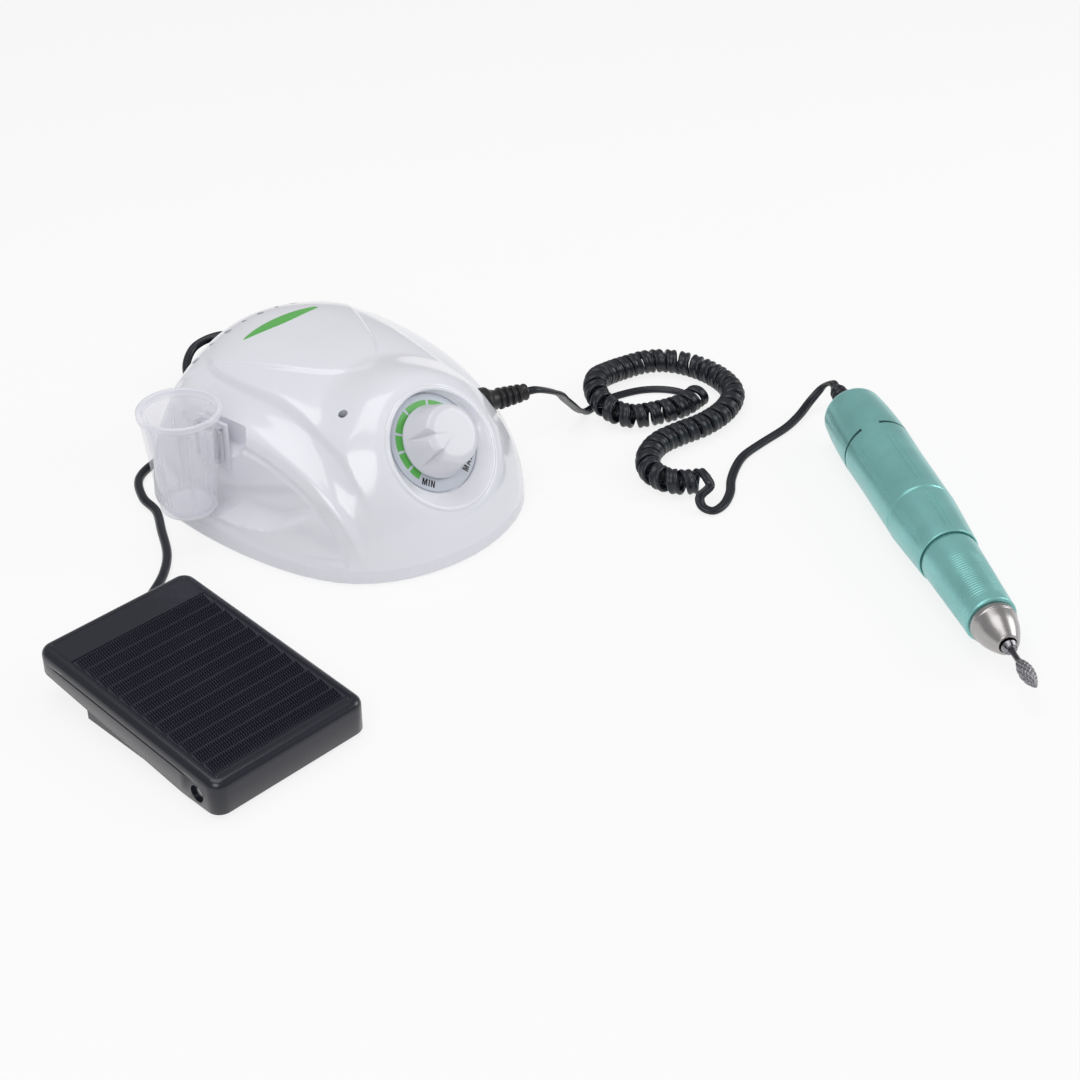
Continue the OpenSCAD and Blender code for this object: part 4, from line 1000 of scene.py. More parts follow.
@dataclass
class HandpieceCord(Assembly):
    """Curly twin cord from the box's gland to the handpiece's boot, in millimetres before the shift."""

    width: float = 4.2
    thick: float = 2.8
    waist: float = 0.9
    curl_spread: float = 1.26
    curl_r: float = 4.5
    curls: float = 41.5
    per_curl: int = 24
    gland_at: Point = (40.6, 12.4, 42.0)
    gland_l: float = 20.0
    gland_turn: float = -18.6

    @property
    def exit(self) -> Array:
        """Where the cord leaves the strain relief."""
        return BOX_AT + np.array(self.gland_at) + self.gland_l * np.array(compass(self.gland_turn))

    def curl_route(self) -> Array:
        """Middle line of the curls.

        Returns:
            Points of the line.
        """
        plan = [[152, 54, 0], [139, 53, 0], [126, 57, 0], [116, 63.5, 0], [111.5, 73, 2], [115, 84, 4.2],
                [124, 92, 4.2], [135, 95.5, 1.6], [147, 95.5, 0], [158, 92, 0], [166, 85, 0], [170.5, 74, 0],
                [171, 61, 0], [167.5, 49, 0], [160.5, 41, 0], [148, 36, 0], [133, 35, 0], [119, 37.5, 0],
                [107, 38.5, 0], [96, 35, 0], [88, 27.5, 0], [86, 18.5, 0], [89, 11, 0], [96, 5, 0]]
        bed = self.curl_r + self.thick / 2 + CLEARANCE
        return smooth(np.array(plan, float) + [0, 0, bed], 8)

    def curl_points(self, per: int) -> tuple[Array, Array]:
        """Helix round the middle line.

        Args:
            per: Points in each curl.

        Returns:
            Points of the helix and the direction of the middle line at each.
        """
        fine = self.curl_route()
        along = np.concatenate([[0], np.cumsum(np.linalg.norm(np.diff(fine, axis=0), axis=1))])
        total = along[-1]

        def axis_at(s: Array) -> Array:
            """Points of the middle line at distances along it."""
            return np.stack([np.interp(s, along, fine[:, c]) for c in range(3)], axis=1)

        turn = np.arange(int(round(self.curls * per)) + 1) / per
        s = total * turn / self.curls
        way = axis_at(np.minimum(s + 2, total)) - axis_at(np.maximum(s - 2, 0))
        way /= np.linalg.norm(way, axis=1, keepdims=True)
        side = flat_sides(way)
        lift = np.cross(side, way)
        a = np.radians(-90.0 - 360.0 * turn)[:, None]
        return axis_at(s) + self.curl_r * (np.cos(a) * side + np.sin(a) * lift), way

    def path(self, hand: Handpiece) -> tuple[Array, Array, Array]:
        """Whole centre line of the cord, from the gland to the boot.

        Args:
            hand: The handpiece that it goes to.

        Returns:
            Points, width directions, and how much the cores lie spread apart at each point.
        """
        coarse, _ = self.curl_points(8)
        level = np.array([1.0, 1.0, 0.0])
        curl_in = unit((coarse[1] - coarse[0]) * level)
        curl_out = unit((coarse[-1] - coarse[-2]) * level)
        curls, way = self.curl_points(self.per_curl)
        start, end = curls[0] - self.width * curl_in, curls[-1] + self.width * curl_out
        z = self.thick / 2 + CLEARANCE
        boot_end = hand.rear - hand.boot_l * hand.way
        lead = smooth([self.exit, self.exit + [6, -1.4, -1.0], [74, 69.5, 32.8], [84, 74.5, 23.6],
                       [94, 79.5, 14.4], [102, 83, 7], [110, 85.5, z + 0.3], [120, 86.5, z], [130, 85.5, z],
                       [142, 81, z], [150, 74, z], start - 8 * curl_in, start], 6)
        tail = smooth([end, end + 4 * curl_out - [0, 0, 2.4], [87.0, -2.0, 5.2], [84.6, -5.6, 2.8],
                       [87.0, -9.6, z], [94, -9.6, z], [103, -5.5, z], [111, 0.5, z], [121, 6, z],
                       [131, 9.5, z], [144, 10.5, z], [162, 11, z], [174, 12.5, 2.6], [184, 14, 5.5],
                       [190, 12, 11], boot_end - 5 * hand.way, boot_end], 6)
        route = np.concatenate([lead, curls, tail])
        heading = headings(route)
        sides = flat_sides(heading)
        run = slice(len(lead), len(lead) + len(curls))
        sides[run] = way - np.sum(way * heading[run], axis=1, keepdims=True) * heading[run]
        sides /= np.linalg.norm(sides, axis=1, keepdims=True)
        spread = np.ones(len(route))
        eased = np.clip(np.arange(len(curls)) / self.per_curl, 0.0, 1.0)
        spread[run] = 1.0 + (self.curl_spread - 1.0) * eased
        spread[run] = np.minimum(spread[run], spread[run][::-1])
        return route + ORIGIN_SHIFT, steadied(sides, heading), spread

    def build(self, hand: Handpiece) -> None:
        """Args:
            hand: The handpiece that it goes to.
        """
        route, sides, spread = self.path(hand)
        section = twin_section(self.width, self.thick, self.waist, 24)
        piece = mesh_object("handpiece_cord", *swept(route, sides, section, spread), 60)
        self.dress(piece, Body.SET, "cord_black", "lead_cord", "curly_cord", "tail_cord")
        tuple(route[0] * MM)
        self.width * MM
        [tuple(p) for p in route * MM]


@dataclass
class PedalCord(Assembly):
    """Round cord from the pedal to its plug at the back of the box, in millimetres before the shift."""

    diameter: float = 3.9
    coil_at: Pair = (27.5, 220.8)
    coil_inner: float = 13.4
    coil_step: float = 4.36
    coil_bed: float = 2.95
    coil_loops: int = 4
    per_turn: int = 40
    exit: Point = (-147.0, 72.5, 7.0)
    plug_end: Point = (28.5, 201.59, 18.0)
    band_low: Pair = (10.5, 0.0)
    band_high: Pair = (31.56, 10.2)
    band_wall: float = 0.8
    band_corner: float = 2.6
    band_half: float = 3.0

    def coil(self) -> Array:
        """Two layers of turns, inwards below and outwards on top.

        Returns:
            Points of the coil's middle line.
        """
        u = np.linspace(0, 2 * self.coil_loops, 2 * self.coil_loops * self.per_turn + 1)
        r = self.coil_inner + self.coil_step * np.abs(u - self.coil_loops)
        z = self.coil_bed + self.coil_step * np.clip(2 * (u - self.coil_loops) + 0.5, 0, 1)
        a = 2 * math.pi * u
        return np.stack([self.coil_at[0] - r * np.cos(a), self.coil_at[1] + r * np.sin(a), z], axis=1)

    def path(self) -> Array:
        """Whole centre line, from the pedal to the plug.

        Returns:
            Points of the line in the shared frame.
        """
        coil = self.coil()
        way_in, way_out = unit(coil[1] - coil[0]), unit(coil[-1] - coil[-2])
        start, end = coil[0] - self.diameter * way_in, coil[-1] + self.diameter * way_out
        z = self.diameter / 2 + CLEARANCE
        exit_at, plug = np.array(self.exit), np.array(self.plug_end)
        first = smooth([exit_at, exit_at + [0, 5, -1.2], [-146.6, 86, 3], [-145, 95, z], [-131, 104, z],
                        [-118, 111, z], [-105, 119.5, z], [-94.5, 130.5, z], [-85.5, 146, z], [-78, 159.5, z],
                        [-75.5, 172, z], [-68, 185, z], [-56, 191, z], [-40, 192.5, z], [-24, 194.5, z],
                        [-11, 201, 2.5], start - 8 * way_in, start], 6)
        last = smooth([end, end + 6 * way_out + [0, 0, 0.8], [1, 239, 11], [10, 244, 14.5], [20, 241.5, 17],
                       [26.5, 233, 18.5], [28.5, 222, plug[2] - 0.6], plug + [0, 7, 0], plug], 6)
        return np.concatenate([first, coil, last]) + ORIGIN_SHIFT

    def tie(self) -> Piece:
        """Soft band round the coil's turns.

        Returns:
            The finished piece.
        """
        frame = frame_of(np.array([*self.coil_at, 0.0]) + ORIGIN_SHIFT, (0.0, -1.0, 0.0), (1.0, 0.0, 0.0))
        low, high, wall, half = self.band_low, self.band_high, self.band_wall, self.band_half
        outside = round_box(low, high, self.band_corner)
        piece = mesh_object("coil_band", *prism(outside, -half, half, frame))
        inside = round_box((low[0] + wall, low[1] + wall), (high[0] - wall, high[1] - wall),
                           self.band_corner - wall)
        cut(piece, mesh_object("band_inside", *prism(inside, -half - 1.0, half + 1.0, frame)))
        soften(piece, 0.2, 60.0)
        return piece

    def build(self, nodes: dict[str, Piece]) -> None:
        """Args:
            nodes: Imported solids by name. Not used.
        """
        route = self.path()
        way = headings(route)
        piece = mesh_object("pedal_lead", *swept(route, steadied(flat_sides(way), way),
                                                 round_section(self.diameter, 16)), 60)
        self.dress(piece, Body.SET, "cord_black", "pedal_cord", "pedal_coil", "plug_cord")
        tuple(route[0] * MM)
        self.diameter * MM
        [tuple(p) for p in route * MM]
        self.dress(self.tie(), Body.SET, "cord_black", "coil_tie")


def face(thing: Piece, at: Point, aim: Point) -> None:
    """Puts a camera or lamp at a point, in millimetres, and turns it to another."""
    thing.location = Vector(at) * MM
    thing.rotation_euler = (Vector(aim) - Vector(at)).to_track_quat("-Z", "Y").to_euler()


@dataclass(frozen=True)
class Lamp:
    """Soft square lamp: its place, aim and side in millimetres, and its power in watts."""

    name: str
    at: Point
    aim: Point
    side: float
    power: float

    def build(self) -> None:
        """Adds the lamp to the scene."""
        data = bpy.data.lights.new(self.name, "AREA")
        data.size = self.side * MM
        data.energy = self.power
        face(new_object(self.name, data), self.at, self.aim)


@dataclass
class Studio:
    """Camera, floor and soft light of the photograph, in millimetres."""

    camera_at: Point = (-489.8, -465.7, 478.1)
    look_at: Point = (20.08, 26.72, 0.0)
    focal_px: float = 2051.0
    image_px: float = 1080.0
    sensor: float = 36.0
    clip_m: Pair = (0.01, 50.0)
    floor_half: float = 4000.0
    floor_colour: tuple[float, float, float, float] = (0.9, 0.9, 0.9, 1.0)
    floor_glow: float = 0.82
    world_light: float = 0.4
    lamps: tuple[Lamp, ...] = (
        Lamp("left_softbox", (-900.0, -500.0, 900.0), (0.0, 30.0, 30.0), 700.0, 4.6),
        Lamp("top_softbox", (-100.0, 200.0, 1200.0), (0.0, 30.0, 0.0), 900.0, 4.5),
        Lamp("right_softbox", (800.0, -500.0, 500.0), (0.0, 0.0, 30.0), 500.0, 2.6),
    )

    def camera(self) -> None:
        """Sets the scene's camera."""
        data = bpy.data.cameras.new("photo_camera")
        data.sensor_width = self.sensor
        data.lens = self.focal_px / self.image_px * self.sensor
        data.clip_start, data.clip_end = self.clip_m
        camera = new_object("photo_camera", data)
        face(camera, self.camera_at, self.look_at)
        bpy.context.scene.camera = camera

    def floor(self) -> None:
        """Makes the plain pale floor, which keeps the object's shadow."""
        tree = ShaderTree("studio_floor")
        tree.set(Base_Color=self.floor_colour, Roughness=0.9, Specular_IOR_Level=0.0)
        seen = tree.node("ShaderNodeLightPath", out="Is Camera Ray")
        shine = tree.node("ShaderNodeLightPath", out="Is Glossy Ray")
        through = tree.node("ShaderNodeLightPath", out="Is Transmission Ray")
        glow = tree.node("ShaderNodeEmission", {}, {"Color": WHITE, "Strength": 1.0})
        plain = Shade(tree, tree.shader.outputs[0])
        parts = {0: (seen + shine + through) * self.floor_glow, 1: plain, 2: glow}
        tree.feed(tree.output.inputs["Surface"], tree.node("ShaderNodeMixShader", {}, parts))
        half = self.floor_half
        points = np.array([[-half, -half, 0], [half, -half, 0], [half, half, 0], [-half, half, 0]])
        plane = mesh_object("studio_floor", points, [[0, 1, 2, 3]])
        plane.data.materials.append(tree.material)

    def world(self) -> None:
        """Sets an even white surround that lights gently and shows as white."""
        world = bpy.data.worlds.new("studio")
        world.use_nodes = True
        tree = Graph(world.node_tree)
        seen = tree.node("ShaderNodeLightPath", out="Is Camera Ray")
        span = {"Value": seen, "To Min": self.world_light, "To Max": 1.0}
        level = tree.node("ShaderNodeMapRange", {}, span)
        back = world.node_tree.nodes["Background"]
        tree.feed(back.inputs["Strength"], level)
        tree.feed(back.inputs["Color"], WHITE)
        bpy.context.scene.world = world

    def build(self) -> None:
        """Sets up the whole studio."""
        scene = bpy.context.scene
        scene.view_settings.view_transform = "Standard"
        self.camera()
        self.floor()
        self.world()
        for lamp in self.lamps:
            lamp.build()


def ramp(value: Array, low: float, high: float) -> Array:
    """Smooth step from 0 at low to 1 at high."""
    k = np.clip((np.asarray(value, float) - low) / (high - low), 0.0, 1.0)
    return k * k * (3.0 - 2.0 * k)


def capsule(y: Array, z: Array, a: Sequence[float], b: Sequence[float]) -> Array:
    """Depth inside a capsule between two circles (y, z, radius), below zero outside."""
    d = np.array(b[:2], float) - np.array(a[:2], float)
    k = np.clip(((y - a[0]) * d[0] + (z - a[1]) * d[1]) / (d @ d), 0.0, 1.0)
    return a[2] + k * (b[2] - a[2]) - np.hypot(y - a[0] - k * d[0], z - a[1] - k * d[1])


@dataclass
class Shell(Assembly):
    """Domed top shell of the control box, in the box's own millimetres: X right, Y back, Z up."""

    height: float = 65.5
    half_w: float = 69.0
    corner_w: float = 60.5
    front_bow: float = 23.0
    depth: float = 125.0
    wall: float = 3.0
    seam_z: float = 6.5
    tongue_rise: float = 1.0
    axis_y: float = 76.0
    side_run: float = 123.0
    back_bow: float = 12.0
    scoop_x: float = 52.0
    scoop_y: float = 15.0
    scoop_tilt: float = 6.2
    dial_at: Point = (0.0, 0.7, 44.9)
    dial_el: float = 38.0
    dial_r: float = 21.0
    rim_r: float = 24.8
    rim_z: float = 3.0
    rim_off: Pair = (0.6, -3.4)
    led_at: Point = (-25.3, 26.1, 56.3)
    led_lean: float = 27.0
    led_turn: float = 226.8
    led_hole_r: float = 1.95
    gland_hole_r: float = 4.1
    vent_count: int = 9
    vent_pitch: float = 9.0
    vent_y: float = 108.0
    panel_half: float = 44.0
    panel_y: float = 111.0
    panel_z: Pair = (10.0, 42.0)
    panel_gap: float = 0.1
    rib_least: float = 2.55
    rib_more: float = 2.45
    rib_power: int = 7
    front_sharp: float = 20.0
    sharp_fall: float = 15.0
    back_sharp: float = 6.0
    tongue_y: float = 40.0
    arch_at: Pair = (62.0, 6.0)
    arch_in: Pair = (64.0, 39.5)
    arch_out: Pair = (72.0, 53.0)
    arch_run: float = 45.0
    right_share: float = 0.2
    fender_rise: float = 1.8
    brow_rise: float = 0.8
    groove_at: float = 0.93
    groove_depth: float = 2.4
    field_sink: float = 1.3
    bay_sink: float = 5.0
    rows: int = 140
    rows_in: int = 14

    @property
    def at(self) -> Array:
        """Place of the box in the shared frame."""
        return BOX_AT + ORIGIN_SHIFT

    def dial_frame(self) -> Array:
        """Frame of the dial in the box: Z out along the knob's axis, Y up the plate."""
        el = math.radians(self.dial_el)
        return frame_of(self.dial_at, (0.0, -math.cos(el), math.sin(el)), (1.0, 0.0, 0.0))

    def led_frame(self) -> Array:
        """Frame of the lamp in the box, square to the shell."""
        a, b = math.radians(self.led_lean), math.radians(self.led_turn)
        way = (math.sin(a) * math.cos(b), math.sin(a) * math.sin(b), math.cos(a))
        return frame_of(self.led_at, way, (1.0, 0.0, 0.0))

    def gland_frame(self) -> Array:
        """Frame of the cord gland in the box: Z is the way out."""
        cord = HandpieceCord(self.finishes)
        return frame_of(cord.gland_at, compass(cord.gland_turn), UP)

    def reach(self, t: Array, p: Array) -> Array:
        """Plan radius at a turn, with corners of a sharpness.

        Args:
            t: Turns round the dome.
            p: Sharpness of the corners at each.

        Returns:
            The radius at each.
        """
        c, s = np.cos(t), np.sin(t)

        def parabola(d: float, k: float, way: Array) -> Array:
            """Distance to a bowed front or back."""
            return 2 * d / (-way + np.sqrt(way * way + 4 * k * c * c * d))

        side = 1.0 / np.sqrt((c / self.half_w) ** 2 + (s / self.side_run) ** 2)
        front = parabola(self.axis_y + self.front_bow, self.front_bow / self.corner_w ** 2, s)
        back = parabola(self.depth - self.axis_y, self.back_bow / self.half_w ** 2, -s)
        return (side ** -p + back ** -p + front ** -p) ** (-1.0 / p)

    def bulge(self, t: Array) -> Array:
        """Fullness of the rib at a turn."""
        return self.rib_least + self.rib_more * ((1 + np.sin(t)) / 2) ** self.rib_power

    def foot(self, t: Array, inset: float, z: float) -> Array:
        """Angle along the rib at which it passes a height."""
        return np.arcsin((z / (self.height - inset)) ** (self.bulge(t) / 2))

    def dome(self, t: Array, f: Array, inset: float) -> Array:
        """Plain dome points at turns and rib angles.

        Args:
            t: Turns, a grid.
            f: Rib angles, a grid.
            inset: How far inside the outer skin.

        Returns:
            Points of the grid.
        """
        m = 2.0 / self.bulge(t)
        k, h = np.cos(f) ** m, np.sin(f) ** m
        b = np.maximum(0.0, np.sin(t))
        p = (1 - b) * (self.front_sharp - self.sharp_fall * np.sqrt(h)) + self.back_sharp * b
        r = (self.reach(t, p) - inset) * k
        return np.stack([r * np.cos(t), self.axis_y + r * np.sin(t), h * (self.height - inset)], axis=-1)

    def panel_x(self, y: Array) -> Array:
        """Distance of the scoop's panel from the middle."""
        return self.scoop_x + math.tan(math.radians(self.scoop_tilt)) * (y - self.scoop_y)

    def ledge(self, y: Array) -> Array:
        """Height of the ledge below the scoop."""
        route = [[15, 27.6], [24.5, 21.4], [34, 16], [45, 14], [56, 13], [62, 12.8], [110, 12.5]]
        fine = smooth(route, 8)
        return np.interp(y, fine[:, 0], fine[:, 1])

    def tongue(self, x: Array, y: Array) -> Array:
        """Rise of the tongue-shaped panel on the crown.

        Args:
            x: Places across the box.
            y: Places along it.

        Returns:
            The rise at each place.
        """
        d = np.maximum(y - self.tongue_y, 0.0)
        half = 0.5 * d + 12.0 * (1.0 - np.exp(-d / 5.0))
        inside = ramp(half - np.abs(x), 0.0, 1.9)
        return self.tongue_rise * inside * ramp(y, self.tongue_y, self.tongue_y + 1.8)

    def crown(self, x: Array, y: Array) -> Array:
        """Height of the skin near the crown, above points of the plan.

        Args:
            x: Places across the box.
            y: Places along it.

        Returns:
            The height at each place.
        """
        t = np.arctan2(y - self.axis_y, x)
        b = np.maximum(0.0, np.sin(t))
        p = (1.0 - b) * (self.front_sharp - self.sharp_fall) + self.back_sharp * b
        k = np.clip(np.hypot(x, y - self.axis_y) / self.reach(t, p), 0.0, 0.999)
        full = self.bulge(t)
        return self.height * (1.0 - k ** full) ** (1.0 / full) + self.tongue(x, y)

    def skin(self, t: Array, f: Array) -> Array:
        """Outer skin with its tongue, brow, fender, scoop and ledge.

        Args:
            t: Turns, a grid.
            f: Rib angles, a grid.

        Returns:
            Points of the grid in the box's frame.
        """
        base = self.dome(t, f, 0.0)
        normal = np.cross(np.gradient(base, axis=1), np.gradient(base, axis=0))
        normal /= np.linalg.norm(normal, axis=-1, keepdims=True) + 1e-12
        out = base - np.array([0.0, self.axis_y, 20.0])
        normal *= np.sign(np.sum(normal * out, axis=-1, keepdims=True))
        x, y, z = base[..., 0], base[..., 1], base[..., 2]
        ahead, rise = np.minimum(y, self.arch_at[0]) - self.arch_at[0], z - self.arch_at[1]
        inner = np.hypot(ahead / self.arch_in[0], rise / self.arch_in[1])
        outer = np.hypot(ahead / self.arch_out[0], rise / self.arch_out[1])
        band = (inner - 1.0) / np.maximum((inner - 1.0) + (1.0 - outer), 1e-3)
        band = np.where(inner < 1.0, -1.0, np.where(outer > 1.0, 1.0 + (outer - 1.0) * 4.0, band))
        flank = ramp(np.abs(x), 22.0, 36.0) * ramp(112.0 - y, 0.0, 25.0)
        flank *= np.where(x < 0.0, 1.0, self.right_share)
        lift = self.fender_rise * bell(band, 0.32, 0.25) * ramp(z, 5.0, 20.0)
        before, after = bell(band, self.groove_at, 0.26), 1.0 - ramp(band, self.groove_at, 1.04)
        groove = self.groove_depth * np.where(band < self.groove_at, before, after)
        lift += ramp(z, 24.0, 42.0) * (self.brow_rise * bell(band, 1.08, 0.22) - groove)
        within = (1.0 - inner) * self.arch_run
        lift -= self.field_sink * ramp(within, 0.0, 1.6) * ramp(z, 7.0, 11.0) * ramp(108.0 - y, 0.0, 18.0)
        made = base + normal * (lift * flank)[..., None]
        made[..., 2] += self.tongue(x, y)
        return self.scooped(made, within)

    def scooped(self, made: Array, within: Array) -> Array:
        """Sinks the scoops' panels and the bays for the cup.

        Args:
            made: Points of the skin.
            within: How far each lies inside the arch.

        Returns:
            The changed points.
        """
        x, y, z = made[..., 0], made[..., 1], made[..., 2]
        above = z - self.ledge(y)
        front = np.where(y < self.arch_at[0], np.minimum(within, 0.42 * above), -5.0)
        rear = np.maximum(capsule(y, z, (66, 29.5, 17), (90, 29.5, 17)),
                          capsule(y, z, (90, 29.5, 17), (91, 43.7, 12)))
        bay = capsule(y, z, (62, 47.5, 10), (86, 46.5, 10))
        inside = np.maximum(front, np.maximum(rear, bay))
        wide = np.abs(x)
        sunk = np.clip(inside / 2.6, 0.0, 1.0)
        sunk = 1.0 - (1.0 - sunk) ** 2
        target = self.panel_x(y) - self.bay_sink * ramp(bay, 0.0, 4.0)
        made[..., 0] = np.sign(x) * (wide - sunk * np.maximum(0.0, wide - target))
        return made

    def turns(self) -> Array:
        """Turns of the grid, from the back and closer together over the flanks."""
        spans = [(90, 140, 44), (140, 238, 190), (238, 302, 64), (302, 400, 190), (400, 450, 44)]
        return np.radians(np.concatenate([np.linspace(a, b, n, endpoint=False) for a, b, n in spans]))

    def near_dial(self, points: Array) -> Array:
        """Draws the skin round the dial up to the rim of its hood.

        Args:
            points: Points of the skin.

        Returns:
            The changed points.
        """
        frame = self.dial_frame()
        local = (points - frame[:3, 3]) @ frame[:3, :3]
        r = np.hypot(local[..., 0] - self.rim_off[0], local[..., 1] - self.rim_off[1])
        gap = self.rim_z - 0.4 - local[..., 2]
        fade = 7.0 + 1.3 * np.minimum(np.abs(gap), 12.0)
        near = 1.0 - ramp((r - self.rim_r - 0.5) / fade, 0.0, 1.0)
        local[..., 2] += near * gap * (local[..., 2] > -30.0)
        return local @ frame[:3, :3].T + frame[:3, 3]

    def body(self) -> Mesh:
        """Closed mesh of the dome, with its inner skin.

        Returns:
            Points and faces.
        """
        t = self.turns()
        n = len(t)
        k = np.linspace(0.0, 1.0, self.rows + 1)[:-1, None]
        low = self.foot(t, 0.0, self.seam_z)[None, :]
        f = low + (math.pi / 2 - low) * (1.0 - (1.0 - k) ** 1.15)
        grid = np.repeat(t[None, :], self.rows, axis=0)
        outer = self.near_dial(self.skin(grid, f))
        rows_in = self.rows_in
        k = np.linspace(0.0, 1.0, rows_in + 1)[:-1, None]
        low = self.foot(t, self.wall, self.seam_z)[None, :]
        inner = self.dome(np.repeat(t[None, :], rows_in, axis=0), low + (math.pi / 2 - low) * k, self.wall)
        limit = self.panel_x(inner[..., 1]) - self.wall - 4.5
        inner[..., 0] = np.clip(inner[..., 0], -limit, limit)
        crown = [0.0, self.axis_y, self.height + self.tongue_rise]
        points = np.concatenate([outer.reshape(-1, 3), [crown], inner.reshape(-1, 3),
                                 [[0.0, self.axis_y, self.height - self.wall]]])
        faces = []
        top, base = self.rows * n, self.rows * n + 1
        peak = base + rows_in * n
        for i in range(n):
            j = (i + 1) % n
            for r in range(self.rows - 1):
                faces.append([r * n + i, r * n + j, (r + 1) * n + j, (r + 1) * n + i])
            faces.append([top - n + i, top - n + j, top])
            for r in range(rows_in - 1):
                low, high = base + r * n, base + (r + 1) * n
                faces.append([low + j, low + i, high + i, high + j])
            faces.append([peak - n + j, peak - n + i, peak])
            faces.append([j, i, base + i, base + j])
        return points, faces

    def bezel(self) -> Mesh:
        """Funnel from the plate out to the rim of the hood, with the floor below the plate.

        Returns:
            Points and faces.
        """
        r, rim, top = self.dial_r - 0.3, self.rim_r, self.rim_z
        rings = [(4.0, -4.0, 0.0), (4.0, -1.02, 0.0), (r + 0.4, -1.02, 0.0), (r + 0.4, 0.1, 0.0),
                 (r + 0.7, 0.5, 0.03), (r + 1.3, 0.7, 0.1), (0.6 * r + 0.4 * rim, 0.45 * top, 0.4),
                 (0.25 * r + 0.75 * rim, 0.75 * top, 0.75), (rim - 0.5, top - 0.15, 1.0),
                 (rim + 0.1, top + 0.25, 1.0), (rim + 0.8, top + 0.3, 1.0), (rim + 1.5, top - 0.1, 1.0),
                 (rim + 1.9, top - 1.0, 1.0), (rim + 1.0, top - 4.0, 1.0), (r + 1.0, -7.0, 0.3),
                 (r - 2.0, -4.0, 0.0)]
        steps = 144
        a = np.linspace(0.0, 2.0 * math.pi, steps, endpoint=False)
        points = [np.stack([k * self.rim_off[0] + q * np.cos(a), k * self.rim_off[1] + q * np.sin(a),
                            np.full(steps, z)], axis=1) for q, z, k in rings]
        return moved(np.concatenate(points), self.dial_frame()), ring_faces(len(rings), steps, True)

    def panel_frame(self) -> Mesh:
        """Frame that the rear panel rests in.

        Returns:
            Points and faces.
        """
        gap, (low, high) = self.panel_gap, self.panel_z
        w = self.panel_half + gap
        frame = frame_of((0, 0, 0), (0, -1, 0), (1, 0, 0))
        outside = [(-w - 2, low - 2), (w + 2, low - 2), (w + 2, high + 2), (-w - 2, high + 2)]
        inside = [(-w, low - gap), (w, low - gap), (w, high + gap), (-w, high + gap)]
        points = [(x, z, -y) for y in (self.panel_y - 2.0, self.panel_y + 1.6)
                  for ring in (outside, inside) for x, z in ring]
        faces = []
        for i in range(4):
            j = (i + 1) % 4
            faces += [[i, j, 4 + j, 4 + i], [8 + j, 8 + i, 12 + i, 12 + j], [j, i, 8 + i, 8 + j],
                      [4 + i, 4 + j, 12 + j, 12 + i]]
        return moved(np.array(points), frame), faces

    def cutters(self) -> Mesh:
        """One mesh of all that is cut out of the dome.

        Returns:
            Points and faces.
        """
        gap, (low, high) = self.panel_gap, self.panel_z
        w, y = self.panel_half + gap, self.panel_y - gap
        rim = self.dial_frame() @ shift_frame([*self.rim_off, 0.0])
        holes = [(self.rim_r - 0.4, -14, 40, 96, rim), (self.led_hole_r, -12, 8, 32, self.led_frame()),
                 (self.gland_hole_r, -20, 12, 48, self.gland_frame())]
        parts = [turned([(0, a), (r, a), (r, b), (0, b)], steps, frame) for r, a, b, steps, frame in holes]
        parts.append(prism([(-w, y), (w, y), (w, 140), (-w, 140)], low - gap, high + gap, np.eye(4)))
        return joined(parts)

    def build(self) -> None:
        """Makes the shell."""
        place = shift_frame(self.at)
        points, faces = self.body()
        piece = mesh_object("dome_shell", moved(points, place), faces, 50)
        points, faces = self.cutters()
        cut(piece, mesh_object("openings", moved(points, place), faces))
        vents = self.at + [0.0, self.vent_y, self.height - 8.0]
        cut(piece, VentRow(self.vent_count, self.vent_pitch).cutter(vents))
        for points, faces in (self.bezel(), self.panel_frame()):
            absorb(piece, mesh_object("extra", moved(points, place), faces))
        finish_mesh(piece.data, 50)
        self.dress(piece, Body.SET, "shell_white", "top_shell")


LETTER_GAP = 0.2
LETTERS: dict[str, tuple[float, tuple[tuple[Pair, ...], ...]]] = {
    "M": (0.82, (((0, 0), (0.19, 0), (0.19, 0.64), (0.33, 0), (0.49, 0), (0.63, 0.64), (0.63, 0), (0.82, 0),
                  (0.82, 1), (0.55, 1), (0.41, 0.38), (0.27, 1), (0, 1)),)),
    "I": (0.2, (((0, 0), (0.2, 0), (0.2, 1), (0, 1)),)),
    "N": (0.64, (((0, 0), (0.19, 0), (0.19, 0.6), (0.44, 0), (0.64, 0), (0.64, 1), (0.45, 1), (0.45, 0.4),
                  (0.2, 1), (0, 1)),)),
    "A": (0.76, (((0, 0), (0.21, 0), (0.26, 0.2), (0.5, 0.2), (0.55, 0), (0.76, 0), (0.5, 1), (0.26, 1)),
                 ((0.3, 0.37), (0.46, 0.37), (0.38, 0.72)))),
    "X": (0.74, (((0, 0), (0.22, 0), (0.37, 0.31), (0.52, 0), (0.74, 0), (0.49, 0.5), (0.74, 1), (0.52, 1),
                  (0.37, 0.69), (0.22, 1), (0, 1), (0.25, 0.5)),)),
}


